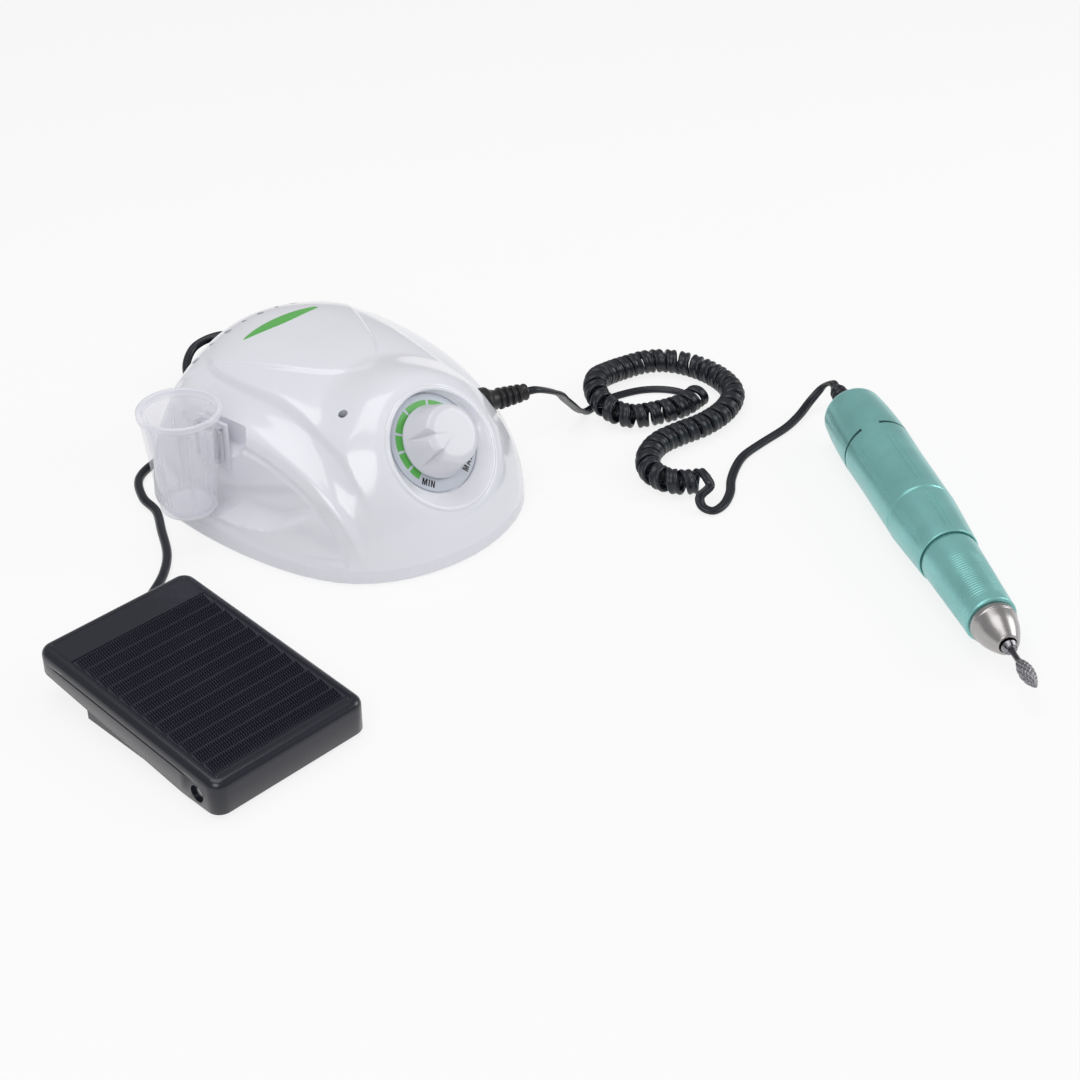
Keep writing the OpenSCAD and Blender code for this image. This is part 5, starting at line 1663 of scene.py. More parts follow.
def words(name: str, text: str, height: float, thick: float, frame: Array) -> Piece:
    """Raised block letters as a mesh.

    Args:
        name: Name of the object.
        text: The letters.
        height: Height of the letters in millimetres.
        thick: Rise above the frame's plane in millimetres.
        frame: Frame of the text's middle in the shared frame, with X along the line.

    Returns:
        The lettering, at the origin.
    """
    curve = bpy.data.curves.new(name, "CURVE")
    curve.dimensions = "2D"
    curve.fill_mode = "BOTH"
    curve.extrude = 0.5 * thick * MM
    pen = -0.5 * (sum(LETTERS[letter][0] for letter in text) + LETTER_GAP * (len(text) - 1))
    for letter in text:
        wide, outlines = LETTERS[letter]
        for outline in outlines:
            spline = curve.splines.new("POLY")
            spline.points.add(len(outline) - 1)
            spline.use_cyclic_u = True
            for point, (x, y) in zip(spline.points, outline):
                point.co = ((pen + x) * height * MM, (y - 0.5) * height * MM, 0.0, 1.0)
        pen += wide + LETTER_GAP
    holder = new_object(name + "_line", curve)
    graph = bpy.context.evaluated_depsgraph_get()
    mesh = bpy.data.meshes.new_from_object(holder.evaluated_get(graph), depsgraph=graph)
    bpy.data.objects.remove(holder)
    mesh.transform(in_metres(frame @ shift_frame((0.0, 0.0, 0.5 * thick))))
    finish_mesh(mesh)
    return new_object(name, mesh)


@dataclass
class Dial(Assembly):
    """Dial plate, its printed marks and the speed knob, in millimetres in the dial's frame."""

    frame: Array
    plate_r: float = 20.5
    band: Pair = (14.6, 17.9)
    stops: tuple[float, ...] = (218.0, 198.0, 172.0, 146.0, 109.0, 69.0, 36.0)
    gap: float = 1.9
    knob_r: float = 15.5
    knob_gap: float = 0.8
    knob_h: float = 15.6
    notches: Pair = (158.0, 206.0)
    bore_r: float = 3.9
    print_rise: float = 0.06
    word_h: float = 2.9
    word_r: float = 17.5
    words_at: tuple[tuple[str, float], ...] = (("MIN", 231.0), ("MAX", 309.0))

    def segments(self) -> Mesh:
        """Printed green segments that step round the plate.

        Returns:
            Points and faces.
        """
        parts = []
        low, high = self.band
        for start, end in zip(self.stops[:-1], self.stops[1:]):
            a = np.radians(np.linspace(start - self.gap, end + self.gap, 14))
            parts.append(prism(arc_band(low, high, a)[::-1], 0.0, self.print_rise, self.frame))
        return joined(parts)

    def knob(self) -> Piece:
        """Bell-shaped knob with two notches that leave a pointer between them.

        Returns:
            The finished piece.
        """
        r, low, top = self.knob_r, self.knob_gap, self.knob_h
        profile = rounded([(0.0, low + 4.0, 0), (8.0, low + 4.0, 0), (8.0, low, 0), (r - 0.3, low, 0.3),
                           (r, low + 1.2, 0.5), (r - 0.7, low + 3.4, 1.6), (r - 1.5, low + 7.0, 3.0),
                           (r - 2.3, low + 10.6, 2.5), (r - 3.2, top - 0.8, 1.5), (r - 5.4, top, 1.4),
                           (0.0, top - 0.15, 0)], 0.4, 6)
        piece = mesh_object("speed_knob_cap", *turned(profile, 160, self.frame))
        out = np.array([7.0, 0.0, 1.5])
        corners = []
        for edge, half in (([r + 0.2, 0.0, low + 1.6], 4.0), ([r - 7.6, 0.0, top + 0.6], 7.0)):
            wide = np.array([0.0, half, 0.0])
            corners += [np.array(edge), edge + out + wide, edge + out - wide]
        faces = [[0, 1, 2], [3, 5, 4], [0, 3, 4, 1], [1, 4, 5, 2], [2, 5, 3, 0]]
        for angle in self.notches:
            cut(piece, mesh_object("notch", moved(np.array(corners), self.frame @ turn_about(angle)), faces))
        soften(piece, 0.35, 22.0)
        return piece

    def build(self) -> None:
        """Makes the plate, marks, words and knob."""
        bore, r = self.bore_r, self.plate_r
        ring = rounded([(bore, -1.0), (r, -1.0), (r, 0.0, 0.25), (bore, 0.0)], 0.05, 3)
        plate = mesh_object("dial_face", *turned(ring, 128, self.frame))
        self.dress(plate, Body.SET, "dial_grey", "dial_plate")
        marks = mesh_object("dial_segments", *self.segments())
        self.dress(marks, Body.SET, "badge_green")
        for text, angle in self.words_at:
            place = self.frame @ turn_about(angle - 270.0, self.word_r * np.array(compass(angle)))
            label = words(f"dial_{text.lower()}", text, self.word_h, self.print_rise, place)
            self.dress(label, Body.SET, "black_plastic")
        self.dress(self.knob(), Body.KNOB, "knob_white", "speed_knob")


@dataclass
class Fittings(Assembly):
    """Lamp, badge and strain relief of the box, in the box's millimetres."""

    badge_y: float = 94.0
    badge_l: float = 42.0
    badge_w: float = 5.5
    badge_rise: float = 0.55
    badge_steps: int = 60
    led_r: float = 1.8

    def badge(self, shell: Shell) -> Mesh:
        """Leaf-shaped plate that follows the crown, with a rounded edge and nothing printed on it.

        Args:
            shell: The shell that carries it.

        Returns:
            Points and faces.
        """
        arc = (self.badge_l ** 2 + self.badge_w ** 2) / (4 * self.badge_w)
        steps = self.badge_steps
        x = 0.5 * self.badge_l * np.sin(np.linspace(-0.5 * math.pi, 0.5 * math.pi, steps + 1))
        half = np.maximum(np.sqrt(np.maximum(arc ** 2 - x ** 2, 0.0)) - arc + 0.5 * self.badge_w, 0.02)
        across = np.array([-1.0, -1.0, -0.97, -0.86, -0.6, 0.0, 0.6, 0.86, 0.97, 1.0, 1.0])
        rise = np.array([-1.0, 0.55, 0.85, 0.97, 1.0, 1.0, 1.0, 0.97, 0.85, 0.55, -1.0])
        y = self.badge_y + half[:, None] * across[None, :]
        gx = np.repeat(x[:, None], len(across), axis=1)
        eased = self.badge_rise * np.minimum(1.0, half / 0.5)[:, None]
        lift = rise[None, :] * np.where(rise[None, :] < 0, 1.0, eased)
        points = np.stack([gx, y, shell.crown(gx, y) + lift], axis=-1).reshape(-1, 3)
        n = len(across)
        faces = [[i * n + k, i * n + k + 1, (i + 1) * n + k + 1, (i + 1) * n + k]
                 for i in range(steps) for k in range(n - 1)]
        faces += [[i * n, (i + 1) * n, (i + 1) * n + n - 1, i * n + n - 1] for i in range(steps)]
        faces += [list(range(n)), [steps * n + k for k in range(n)][::-1]]
        return moved(points, shift_frame(shell.at)), faces

    def relief(self) -> list[Pair]:
        """Section of the strain relief along its axis, from inside the shell to the cord.

        Returns:
            Points (radius, height).
        """
        end = HandpieceCord(self.finishes).gland_l
        profile = [(0.0, -9.5, 0), (3.9, -9.5, 0), (3.9, -4.0, 0), (6.6, -4.0, 0.3), (6.4, 1.2, 0.5),
                   (4.7, 3.4, 0.8)]
        for i in range(4):
            z, r = 6.6 + 2.9 * i, 4.75 - 0.22 * i
            profile += [(r - 0.9, z - 0.2, 0.1), (r, z + 0.2, 0.25), (r - 0.1, z + 1.5, 0.35),
                        (r - 0.9, z + 1.9, 0.1)]
        return rounded(profile + [(3.7, end - 0.9, 0.2), (3.4, end, 0.5), (0.0, end, 0)], 0.1)

    def build(self, shell: Shell) -> None:
        """Makes the fittings.

        Args:
            shell: The shell that carries them.
        """
        place = shift_frame(shell.at)
        badge = mesh_object("crown_leaf", *self.badge(shell), 60)
        self.dress(badge, Body.SET, "badge_green", "crown_badge")
        turn = np.linspace(0.0, 0.5 * math.pi, 9)
        dome = [(self.led_r * math.cos(k), -1.9 + 1.3 * math.sin(k)) for k in turn]
        lens = rounded([(0.0, -6.4, 0), (self.led_r, -6.4, 0)] + [(r, z, 0) for r, z in dome], 0.0)
        lamp = mesh_object("lamp_lens", *turned(lens, 32, place @ shell.led_frame()))
        self.dress(lamp, Body.SET, "lamp_green", "power_led")
        boot = mesh_object("cord_relief", *turned(self.relief(), 64, place @ shell.gland_frame()))
        self.dress(boot, Body.SET, "black_plastic", "cord_gland")


@dataclass
class Cup(Assembly):
    """Translucent handpiece cup on the left flank, in millimetres: X out of the flank, Z up."""

    out: float = 18.0
    along: float = 69.3
    low: float = 19.0
    high: float = 66.0
    floor_r: float = 11.5
    rim_r: float = 16.5
    wall: float = 1.6
    rib: float = 1.1
    ribs: int = 6
    rib_top: float = 62.0
    hook_z: Point = (36.0, 50.2, 52.0)

    def frame(self, shell: Shell) -> Array:
        """Frame of the left scoop's panel at the cup, in the shared frame.

        Args:
            shell: The shell that it hangs on.

        Returns:
            The 4 by 4 matrix.
        """
        a = math.radians(shell.scoop_tilt)
        out = np.array([-math.cos(a), -math.sin(a), 0.0])
        back = np.array([-math.sin(a), math.cos(a), 0.0])
        at = np.array([-shell.scoop_x, shell.scoop_y, 0.0]) + (self.along - shell.scoop_y) * back
        return frame_of(shell.at + at, UP, out)

    def radius(self, z: Array) -> Array:
        """Outer radius at a height."""
        return self.floor_r + (self.rim_r - self.floor_r) * (z - self.low) / (self.high - self.low)

    def rib_relief(self, r: Array, z: Array, a: Array) -> Array:
        """How far the ribs stand in from the inner wall.

        Args:
            r: Radii of the points.
            z: Their heights.
            a: Their turns.

        Returns:
            The depth at each point.
        """
        near = 2.0 * math.pi / self.ribs
        d = (np.mod(a + 0.5 * near, near) - 0.5 * near) * r
        inner = (r < self.radius(z) - 0.6 * self.wall) & (r > 6.0)
        ends = ramp(self.rib_top - z, 0.0, 5.0), ramp(z, self.low + 1.6, self.low + 5)
        return np.where(inner, self.rib * np.exp(-(d / 0.75) ** 4) * ends[0] * ends[1], 0.0)

    def hook(self) -> Mesh:
        """Channel behind the cup that slides over the rail, with its roof.

        Returns:
            Points and faces.
        """
        channel = [(1.9, -6.5), (5.6, -6.5), (5.6, -4.3), (3.1, -4.3), (3.1, -1.8), (1.9, -1.8)]
        mirror = [(x, -y) for x, y in channel[::-1]]
        roof = [(1.9, -6.5), (5.2, -6.5), (5.2, 6.5), (1.9, 6.5)]
        foot, under, top = self.hook_z
        rows = ((channel, foot, under), (mirror, foot, under), (roof, under, top))
        return joined([prism(outline, low, high, np.eye(4)) for outline, low, high in rows])

    def veil(self, piece: Piece, frame: Array) -> None:
        """Stores how dense the plastic looks: thin walls are clear, the rim, ribs, floor and hook milky.

        Args:
            piece: The cup.
            frame: Frame of the cup in the shared frame.
        """
        flat = np.empty(3 * len(piece.data.vertices))
        piece.data.vertices.foreach_get("co", flat)
        local = (flat.reshape(-1, 3) / MM - frame[:3, 3]) @ frame[:3, :3] - [self.out, 0.0, 0.0]
        r, z = np.hypot(local[:, 0], local[:, 1]), local[:, 2]
        wall = self.radius(z)
        rim = self.high - 3.4
        dense = 0.25 + 0.4 * ramp(z, rim, self.high - 2.4) + 0.3 * ramp(self.low + 4.0 - z, 0.0, 3.0)
        ribbed = (r < wall - self.wall - 0.4) & (r > 0.5 * wall)
        dense = np.where(ribbed, np.maximum(dense, 0.45), dense)
        dense = np.where(r > wall + 1.0, np.where(z < rim, 0.8, dense), dense)
        store = piece.data.attributes.new("veil", "FLOAT", "POINT")
        store.data.foreach_set("value", dense.astype(np.float32))

    def build(self, shell: Shell) -> None:
        """Makes the cup with its hook.

        Args:
            shell: The shell that it hangs on.
        """
        frame = self.frame(shell)
        w, top = self.wall, self.high
        outer = [(self.floor_r, self.low, 2.2), (self.rim_r - 0.35, top - 3.2, 0.3),
                 (self.rim_r + 0.6, top - 2.6, 0.4), (self.rim_r + 0.6, top, 0.7)]
        inner = [(self.rim_r - 1.3, top, 0.7), (self.rim_r - w - 0.3, top - 3.0, 0.8),
                 (self.floor_r - w, self.low + w, 1.8)]
        profile = rounded([(0.0, self.low, 0)] + outer + inner + [(0.0, self.low + w, 0)], 0.3, 6)
        fine = finer(profile, 1.4)
        points, faces = turned(fine, 180, frame @ shift_frame((self.out, 0.0, 0.0)), self.rib_relief)
        piece = mesh_object("handpiece_beaker", points, faces, 40)
        points, faces = self.hook()
        extra = mesh_object("hook", moved(points, frame), faces)
        soften(extra, 0.3)
        absorb(piece, extra)
        self.veil(piece, frame)
        self.dress(piece, Body.CUP, "cup_frosted", "handpiece_cup")


@dataclass
class HandpieceSkin(Assembly):
    """Visible pieces of the handpiece, turned round its axis, in millimetres from the rear cap."""

    frame: Array
    can_r: float = 12.6
    tube_r: float = 8.0
    grip_r: float = 15.0
    slot_z: float = 34.0
    slot_w: float = 1.9
    slot_turn: float = 62.0
    slot_span: float = 92.0
    slot_tilt: float = 6.0
    slot_lead: float = 20.0
    # Outer radius of the black ring behind the slots, which is painted shade
    slot_shade_r: float = 14.3
    shank_r: float = 1.175
    bur_r: float = 3.1
    bur_from: float = 186.0
    bur_l: float = 16.0
    line_depth: float = 0.4
    rib_pitch: float = 1.3
    rib_depth: float = 0.14
    rib_z: Pair = (126.0, 157.0)

    def cap(self) -> Piece:
        """Rounded rear cap with two slanted slots.

        Returns:
            The finished piece.
        """
        turn = np.linspace(0.0, 0.5 * math.pi, 12)
        dome = [(9.0 + 4.6 * math.sin(k), 5.0 * (1.0 - math.cos(k)), 0) for k in turn]
        grip, slot_shade, can = self.grip_r + 0.05, self.slot_shade_r + 0.05, self.can_r
        outer = [(4.7, 0.0, 0.3)] + dome + [(14.3, 12.0, 4.0), (14.85, 22.0, 4.0), (grip, 30.0, 3.0),
                                            (grip, 35.9, 0)]
        bore = [(slot_shade, 35.9, 0), (slot_shade, 31.0, 0), (can, 31.0, 0), (can, 4.0, 0), (4.7, 4.0, 0)]
        profile = rounded(outer + bore, 0.1, 5)
        piece = mesh_object("hand_rear_cap", *turned(finer(profile, 2.0), 180, self.frame))
        for side in (-1.0, 1.0):
            a = np.radians(np.linspace(-0.5 * self.slot_span, 0.5 * self.slot_span, 40))
            ring = arc_band(11.0, 18.0, a)
            tilt = math.radians(self.slot_tilt)
            lean = frame_of((0.0, 0.0, self.slot_z), (-math.sin(tilt), 0.0, math.cos(tilt)), (1.0, 0.0, 0.0))
            place = self.frame @ turn_about(side * self.slot_turn + self.slot_lead) @ lean
            cut(piece, mesh_object("slot", *prism(ring, -0.5 * self.slot_w, 0.5 * self.slot_w, place)))
        return piece

    def slot_shade(self) -> Piece:
        """Black ring inside the cap, painted shade that makes the slots look dark."""
        low, high = self.can_r + 0.05, self.slot_shade_r
        ring = [(low, 31.1), (high, 31.1), (high, 35.8), (low, 35.8)]
        return mesh_object("hand_slot_shade", *turned(ring, 96, self.frame))

    def grip_lines(self, low: float, high: float) -> Relief:
        """Relief of six pairs of narrow lines along the body between two heights.

        Args:
            low: Where the lines start.
            high: Where they end.

        Returns:
            The relief, for turned.
        """

        def relief(r: Array, z: Array, a: Array) -> Array:
            """Depth of the lines."""
            step = math.pi / 3.0
            d = np.abs(np.mod(a + 0.5 * step, step) - 0.5 * step) * r - 1.15
            line = self.line_depth * bell(d, 0.0, 0.26)
            line = line * ramp(z, low, low + 1.0) * ramp(high - z, 0.0, 1.0)
            return np.where(r > self.tube_r + 3.0, line, 0.0)

        return relief

    def body(self) -> Piece:
        """Motor body with its grip lines.

        Returns:
            The finished piece.
        """
        can, grip = self.can_r, self.grip_r
        profile = rounded([(can, 35.9, 0), (grip + 0.05, 35.9, 0), (grip - 0.3, 50.0, 4.0), (14.6, 85.2, 0.4),
                           (14.1, 86.0, 0.2), (can, 86.0, 0)], 0.1)
        skin = turned(finer(profile, 1.0), 360, self.frame, self.grip_lines(43.0, 80.0))
        return mesh_object("hand_motor_body", *skin, 40)

    def sleeve(self) -> Piece:
        """Taper sleeve with a lip over the twist collar.

        Returns:
            The finished piece.
        """
        tube = self.tube_r + 0.1
        profile = rounded([(tube, 86.0, 0), (14.1, 86.0, 0.2), (14.7, 86.7, 0.4), (14.2, 95.0, 3.0),
                           (13.3, 108.0, 3.0), (12.75, 116.2, 0.4), (12.2, 116.5, 0.2), (11.6, 115.0, 0),
                           (tube, 115.0, 0)], 0.1)
        skin = turned(finer(profile, 1.0), 360, self.frame, self.grip_lines(89.0, 112.0))
        return mesh_object("hand_taper_sleeve", *skin, 40)

    def collar(self) -> Piece:
        """Twist collar with fine finger ribs.

        Returns:
            The finished piece.
        """
        tube = self.tube_r + 0.05
        profile = rounded([(tube, 115.2, 0), (11.3, 115.2, 0), (11.6, 117.0, 0.2), (12.05, 118.2, 0.6),
                           (11.85, 124.0, 3.0), (10.75, 150.0, 6.0), (10.45, 158.4, 0.8), (10.5, 159.4, 0.4),
                           (9.9, 160.0, 0.2), (tube, 160.0, 0)], 0.1)

        def ribs(r: Array, z: Array, a: Array) -> Array:
            """Depth of the finger ribs."""
            low, high = self.rib_z
            wave = 0.5 - 0.5 * np.cos(2.0 * math.pi * (z - low) / self.rib_pitch)
            band = ramp(z, low, low + 6.0) * ramp(high - z, 0.0, 3.0)
            return np.where(r > self.tube_r + 1.5, self.rib_depth * wave ** 2 * band, 0.0)

        return mesh_object("hand_twist_collar", *turned(finer(profile, 0.24), 144, self.frame, ribs), 50)

    def nose(self) -> Piece:
        """Turned steel nose.

        Returns:
            The finished piece.
        """
        tube = self.tube_r
        profile = rounded([(3.4, 150.0, 0), (tube, 150.0, 0), (tube, 160.2, 0), (8.9, 160.3, 0.2),
                           (9.3, 160.9, 0.3), (9.3, 163.0, 0.3), (8.9, 163.4, 0.2), (8.8, 164.0, 0.3),
                           (8.2, 167.6, 4.0), (6.7, 171.8, 4.0), (5.0, 175.2, 1.2), (4.5, 176.0, 0.3),
                           (3.6, 176.0, 0.2), (3.4, 175.4, 0)], 0.1)
        return mesh_object("hand_nose", *turned(profile, 144, self.frame), 26)

    def collet(self) -> Piece:
        """Split collet that grips the shank.

        Returns:
            The finished piece.
        """
        profile = rounded([(self.shank_r, 164.0, 0), (2.75, 164.0, 0), (2.75, 176.4, 0.1), (3.35, 176.7, 0.3),
                           (2.45, 179.0, 0.35), (self.shank_r, 179.0, 0.1)], 0.05)

        def slits(r: Array, z: Array, a: Array) -> Array:
            """Depth of the three slits through the jaws."""
            d = np.abs(np.mod(a + math.pi / 6.0, math.pi / 3.0) - math.pi / 6.0) * r
            return np.where(r > 1.6, (r - 1.3) * np.exp(-(d / 0.16) ** 4) * ramp(z, 174.5, 174.8), 0.0)

        return mesh_object("hand_collet", *turned(finer(profile, 0.5), 180, self.frame, slits), 40)

    def bur(self) -> Piece:
        """Flame-shaped bur with crossed cuts on its head.

        Returns:
            The finished piece.
        """
        steps = 63
        turn = np.radians(20.0 + 160.0 * np.linspace(0.0, 1.0, steps + 1))
        head = [(self.bur_r * abs(math.sin(k)) ** 0.75, self.bur_from + self.bur_l * i / steps)
                for i, k in enumerate(turn)]
        head[-1] = (0.0, head[-1][1])
        profile = [(0.0, 164.0), (self.shank_r, 164.0), (self.shank_r, self.bur_from - 0.2)] + head

        def cuts(r: Array, z: Array, a: Array) -> Array:
            """Depth of the crossed cuts."""
            first = 0.5 + 0.5 * np.cos(9.0 * a + 1.15 * (z - self.bur_from))
            second = 0.5 + 0.5 * np.cos(9.0 * a - 2.6 * (z - self.bur_from))
            tooth = 0.42 * first ** 3 + 0.22 * second ** 4
            return tooth * ramp(z, self.bur_from + 0.3, self.bur_from + 1.5) * np.minimum(1.0, r / 2.2)

        return mesh_object("flame_bur", *turned(profile, 144, self.frame, cuts), 55)

    def boot(self) -> Piece:
        """Ribbed rubber boot where the cord goes in.

        Returns:
            The finished piece.
        """
        profile = [(0.0, -20.0, 0), (2.6, -20.0, 0.3), (3.0, -17.6, 0.3)]
        for i in range(5):
            z, r = -17.2 + 3.2 * i, 3.75 + 0.33 * i
            profile += [(r - 0.8, z - 0.2, 0.15), (r, z + 0.25, 0.35), (r + 0.05, z + 1.3, 0.35),
                        (r - 0.7, z + 1.8, 0.15)]
        profile += [(5.0, -0.6, 0.3), (5.0, 0.1, 0), (4.6, 0.1, 0), (4.6, 4.0, 0), (0.0, 4.0, 0)]
        return mesh_object("hand_boot", *turned(rounded(profile, 0.1), 72, self.frame))

    def build(self) -> None:
        """Makes every visible piece of the handpiece."""
        for make, body, slot, *nodes in (
                (self.cap, Body.SET, "mint_metal", "rear_cap"),
                # The black ring behind the slots is painted shade
                (self.slot_shade, Body.SET, "black_plastic"),
                (self.body, Body.SET, "mint_metal", "motor_body"),
                (self.sleeve, Body.SET, "mint_metal", "taper_sleeve"),
                (self.collar, Body.COLLAR, "mint_metal", "twist_collar"),
                (self.nose, Body.SET, "nose_steel", "nose_cone"),
                (self.collet, Body.SHAFT, "nose_steel", "collet"),
                (self.bur, Body.SHAFT, "nose_steel", "bur"),
                (self.boot, Body.SET, "cord_black", "cord_boot")):
            self.dress(make(), body, slot, *nodes, look="bur_steel" if body is Body.SHAFT else "")


@dataclass
class Pedal(Assembly):
    """Foot pedal, in millimetres: Y from the heel to the toe, X across, its top leaning up to the toe."""

    half_w: float = 35.0
    length: float = 105.0
    heel_h: float = 15.5
    toe_h: float = 22.0
    edge: float = 3.2
    corner: float = 5.5
    skirt: float = 2.0
    mat_half: float = 30.5
    mat_y: Pair = (6.0, 88.0)
    mat_sink: float = 0.7
    skirt_y: tuple[float, ...] = (0.0, 20.0, 93.0, 105.0)
    skirt_z: tuple[float, ...] = (1.6, 1.6, 10.0, 11.5)
    rows: int = 12
    row_lines: int = 3
    columns: int = 56
    row_gap: float = 0.75
    tooth_h: float = 0.8
    tooth_turn: float = -0.22
    pin_y: float = 11.0
    pin_z: float = 7.0
    spring_y: float = 68.0
    spring_r: float = 4.0
    spring_wire: float = 1.0
    spring_low: float = 3.5
    spring_rise: float = 8.0
    spring_turns: int = 6

    @property
    def at(self) -> Array:
        """Place of the pedal in the shared frame."""
        return PEDAL_AT + ORIGIN_SHIFT

    @property
    def slope(self) -> float:
        """Rise of the top for each millimetre to the toe."""
        return (self.toe_h - self.heel_h) / self.length

    def top(self, y: Array) -> Array:
        """Height of the top plane."""
        return self.heel_h + self.slope * y

    def under(self, y: Array) -> Array:
        """Height of the skirt's lower edge."""
        return np.interp(y, self.skirt_y, self.skirt_z)

    def outline(self, inset: float) -> Array:
        """Plan of the treadle, set in by a distance, with rounded corners.

        Args:
            inset: The distance.

        Returns:
            Points of the plan.
        """
        r = max(self.corner - inset, 0.4)
        a, low, high = self.half_w - inset, inset, self.length - inset
        turn = np.linspace(0.0, 0.5 * math.pi, 9)
        quarter = np.stack([np.cos(turn), np.sin(turn)], axis=1) * r
        corners = [((a - r, high - r), quarter), ((-a + r, high - r), quarter[::-1] * [-1, 1]),
                   ((-a + r, low + r), -quarter), ((a - r, low + r), quarter[::-1] * [1, -1])]
        parts = [np.array(at) + arc for at, arc in corners]
        out = []
        for i, part in enumerate(parts):
            nxt = parts[(i + 1) % 4][0]
            run = np.linspace(0.0, 1.0, 26)[1:-1, None]
            out += [part, part[-1] + (nxt - part[-1]) * run]
        return np.concatenate(out)

    def treadle(self) -> Piece:
        """Skirted treadle with a rounded edge and a sunk field for the mat.

        Returns:
            The finished piece.
        """
        rings = []

        def ring(inset: float, drop: float | None, extra: float = 0.0, line: float = 0.0) -> None:
            """Adds a ring below the top, or on the skirt's lower edge, with a line sunk in the sides."""
            plan = self.outline(inset)
            along = ramp(plan[:, 1], 15.0, 18.0) * ramp(94.0 - plan[:, 1], 0.0, 3.0)
            side = np.abs(plan[:, 0]) > self.half_w - 0.6
            plan[:, 0] -= np.sign(plan[:, 0]) * np.where(side, line * along, 0.0)
            z = self.under(plan[:, 1]) + extra if drop is None else self.top(plan[:, 1]) - drop
            rings.append(np.column_stack([plan, z]))

        ring(self.skirt, 3.0)
        for inset, extra in ((self.skirt, 0.2), (0.5 * self.skirt, 0.0), (0.25, 0.05), (0.0, 0.5)):
            ring(inset, None, extra)
        for below, line in ((2.1, 0.0), (1.8, 0.5), (1.5, 0.5), (1.2, 0.0)):
            ring(0.0, self.edge + below, line=line)
        for k in np.linspace(0.0, 0.5 * math.pi, 9):
            ring(self.edge * (1.0 - math.cos(k)), self.edge * (1.0 - math.sin(k)))
        for inset, drop in ((0.45, 0.0), (0.6, 0.22), (0.95, 0.22), (1.1, 0.03)):
            ring(self.edge + inset, drop)
        field = self.outline(self.edge + 1.1)
        field = np.column_stack([np.clip(field[:, 0], -self.mat_half - 0.15, self.mat_half + 0.15),
                                 np.clip(field[:, 1], self.mat_y[0] - 0.15, self.mat_y[1] + 0.55)])
        for drop in (0.03, self.mat_sink):
            rings.append(np.column_stack([field, self.top(field[:, 1]) - drop]))
        points = moved(np.concatenate(rings), shift_frame(self.at))
        piece = mesh_object("pedal_treadle", points, tube_faces(len(rings), len(rings[0])), 34)
        bore = [(0.0, -1.3), (3.4, -1.3), (3.4, 4.0), (0.0, 4.0)]
        for side in (-1.0, 1.0):
            place = frame_of(self.at + [side * self.half_w, self.pin_y, self.pin_z], (side, 0.0, 0.0), UP)
            cut(piece, mesh_object("pin_recess", *turned(bore, 40, place)))
        return piece

    def top_frame(self) -> Array:
        """Frame on the top plane, over the mat's heel edge, with Y up the slope."""
        a = math.atan(self.slope)
        at = self.at + [0.0, self.mat_y[0], float(self.top(self.mat_y[0]))]
        return frame_of(at, (0.0, -math.sin(a), math.cos(a)), (1.0, 0.0, 0.0))

    @property
    def mat_run(self) -> float:
        """Length of the mat up the slope."""
        return (self.mat_y[1] - self.mat_y[0]) / math.cos(math.atan(self.slope))

    def mat(self) -> Mesh:
        """Mat with smooth lines between its rows.

        Returns:
            Points and faces.
        """
        w, long = self.mat_half, self.mat_run
        row = long / self.rows
        profile = [(0.0, -self.mat_sink)]
        for i in range(self.rows):
            a, b = i * row, (i + 1) * row
            profile += [(a + 0.02, 0.06), (a + 0.2, 0.08), (a + 0.3, -0.1), (b - 0.3, -0.1), (b - 0.2, 0.08),
                        (b - 0.02, 0.06)]
        profile += [(long, -self.mat_sink)]
        n = len(profile)
        points = [(x, y, z) for x in (-w, w) for y, z in profile]
        faces = [[k, k + 1, n + k + 1, n + k] for k in range(n - 1)]
        faces += [[n - 1, 0, n, 2 * n - 1], list(range(n))[::-1], list(range(n, 2 * n))]
        return moved(np.array(points), self.top_frame()), faces

    def knurl(self, material: bpy.types.Material) -> Piece:
        """Slanted teeth of the mat, three lines of them in each row.

        Args:
            material: Material of the teeth.

        Returns:
            The finished piece.
        """
        count = self.row_lines
        line = (self.mat_run / self.rows - self.row_gap) / count
        pitch = (2 * self.mat_half - 2.0) / self.columns
        tree = NodeTree("mat_knurl")
        columns = tree.size("Columns", "Int", self.columns)
        lines = tree.size("Lines", "Int", count * self.rows)
        wide = tree.size("Width", "Float", (self.columns - 1) * pitch * MM)
        step = tree.size("Line Step", "Float", line * MM)
        gap = tree.size("Row Gap", "Float", self.row_gap * MM)
        lean = tree.size("Lean", "Float", 0.3 * pitch * MM)
        sizes = {"Size X": wide, "Size Y": (lines - 1.0) * step, "Vertices X": columns, "Vertices Y": lines}
        grid = tree.node("GeometryNodeMeshGrid", {}, sizes)
        index = tree.whole("MODULO", tree.node("GeometryNodeInputIndex"), lines)
        order = tree.whole("DIVIDE_FLOOR", index, count)
        part = tree.whole("MODULO", index, count)
        up = order * gap
        offset = tree.node("ShaderNodeCombineXYZ", {}, {"X": part * lean, "Y": up})
        spread = tree.node("GeometryNodeSetPosition", {}, {"Geometry": grid, "Offset": offset})
        cone = tree.node("GeometryNodeMeshCone", {"fill_type": "NGON"}, {
            "Vertices": 4, "Side Segments": 1, "Fill Segments": 1, "Radius Top": 0.34, "Radius Bottom": 0.71,
            "Depth": 1.0})
        square = {"Geometry": cone, "Rotation": (0.0, 0.0, 0.25 * math.pi)}
        tooth = tree.node("GeometryNodeTransform", {}, square)
        size = (0.6 * pitch * MM, 0.86 * line * MM, self.tooth_h * MM)
        teeth = tree.node("GeometryNodeInstanceOnPoints", {}, {
            "Points": spread, "Instance": tooth, "Scale": size, "Rotation": (0.0, 0.0, self.tooth_turn)})
        tree.close(teeth, material)
        low = -0.5 * (count * self.rows - 1) * line
        middle = shift_frame((-0.5 * pitch, 0.5 * (self.row_gap + line) - low, 0.05))
        return tree.run("pedal_knurl", self.top_frame() @ middle)

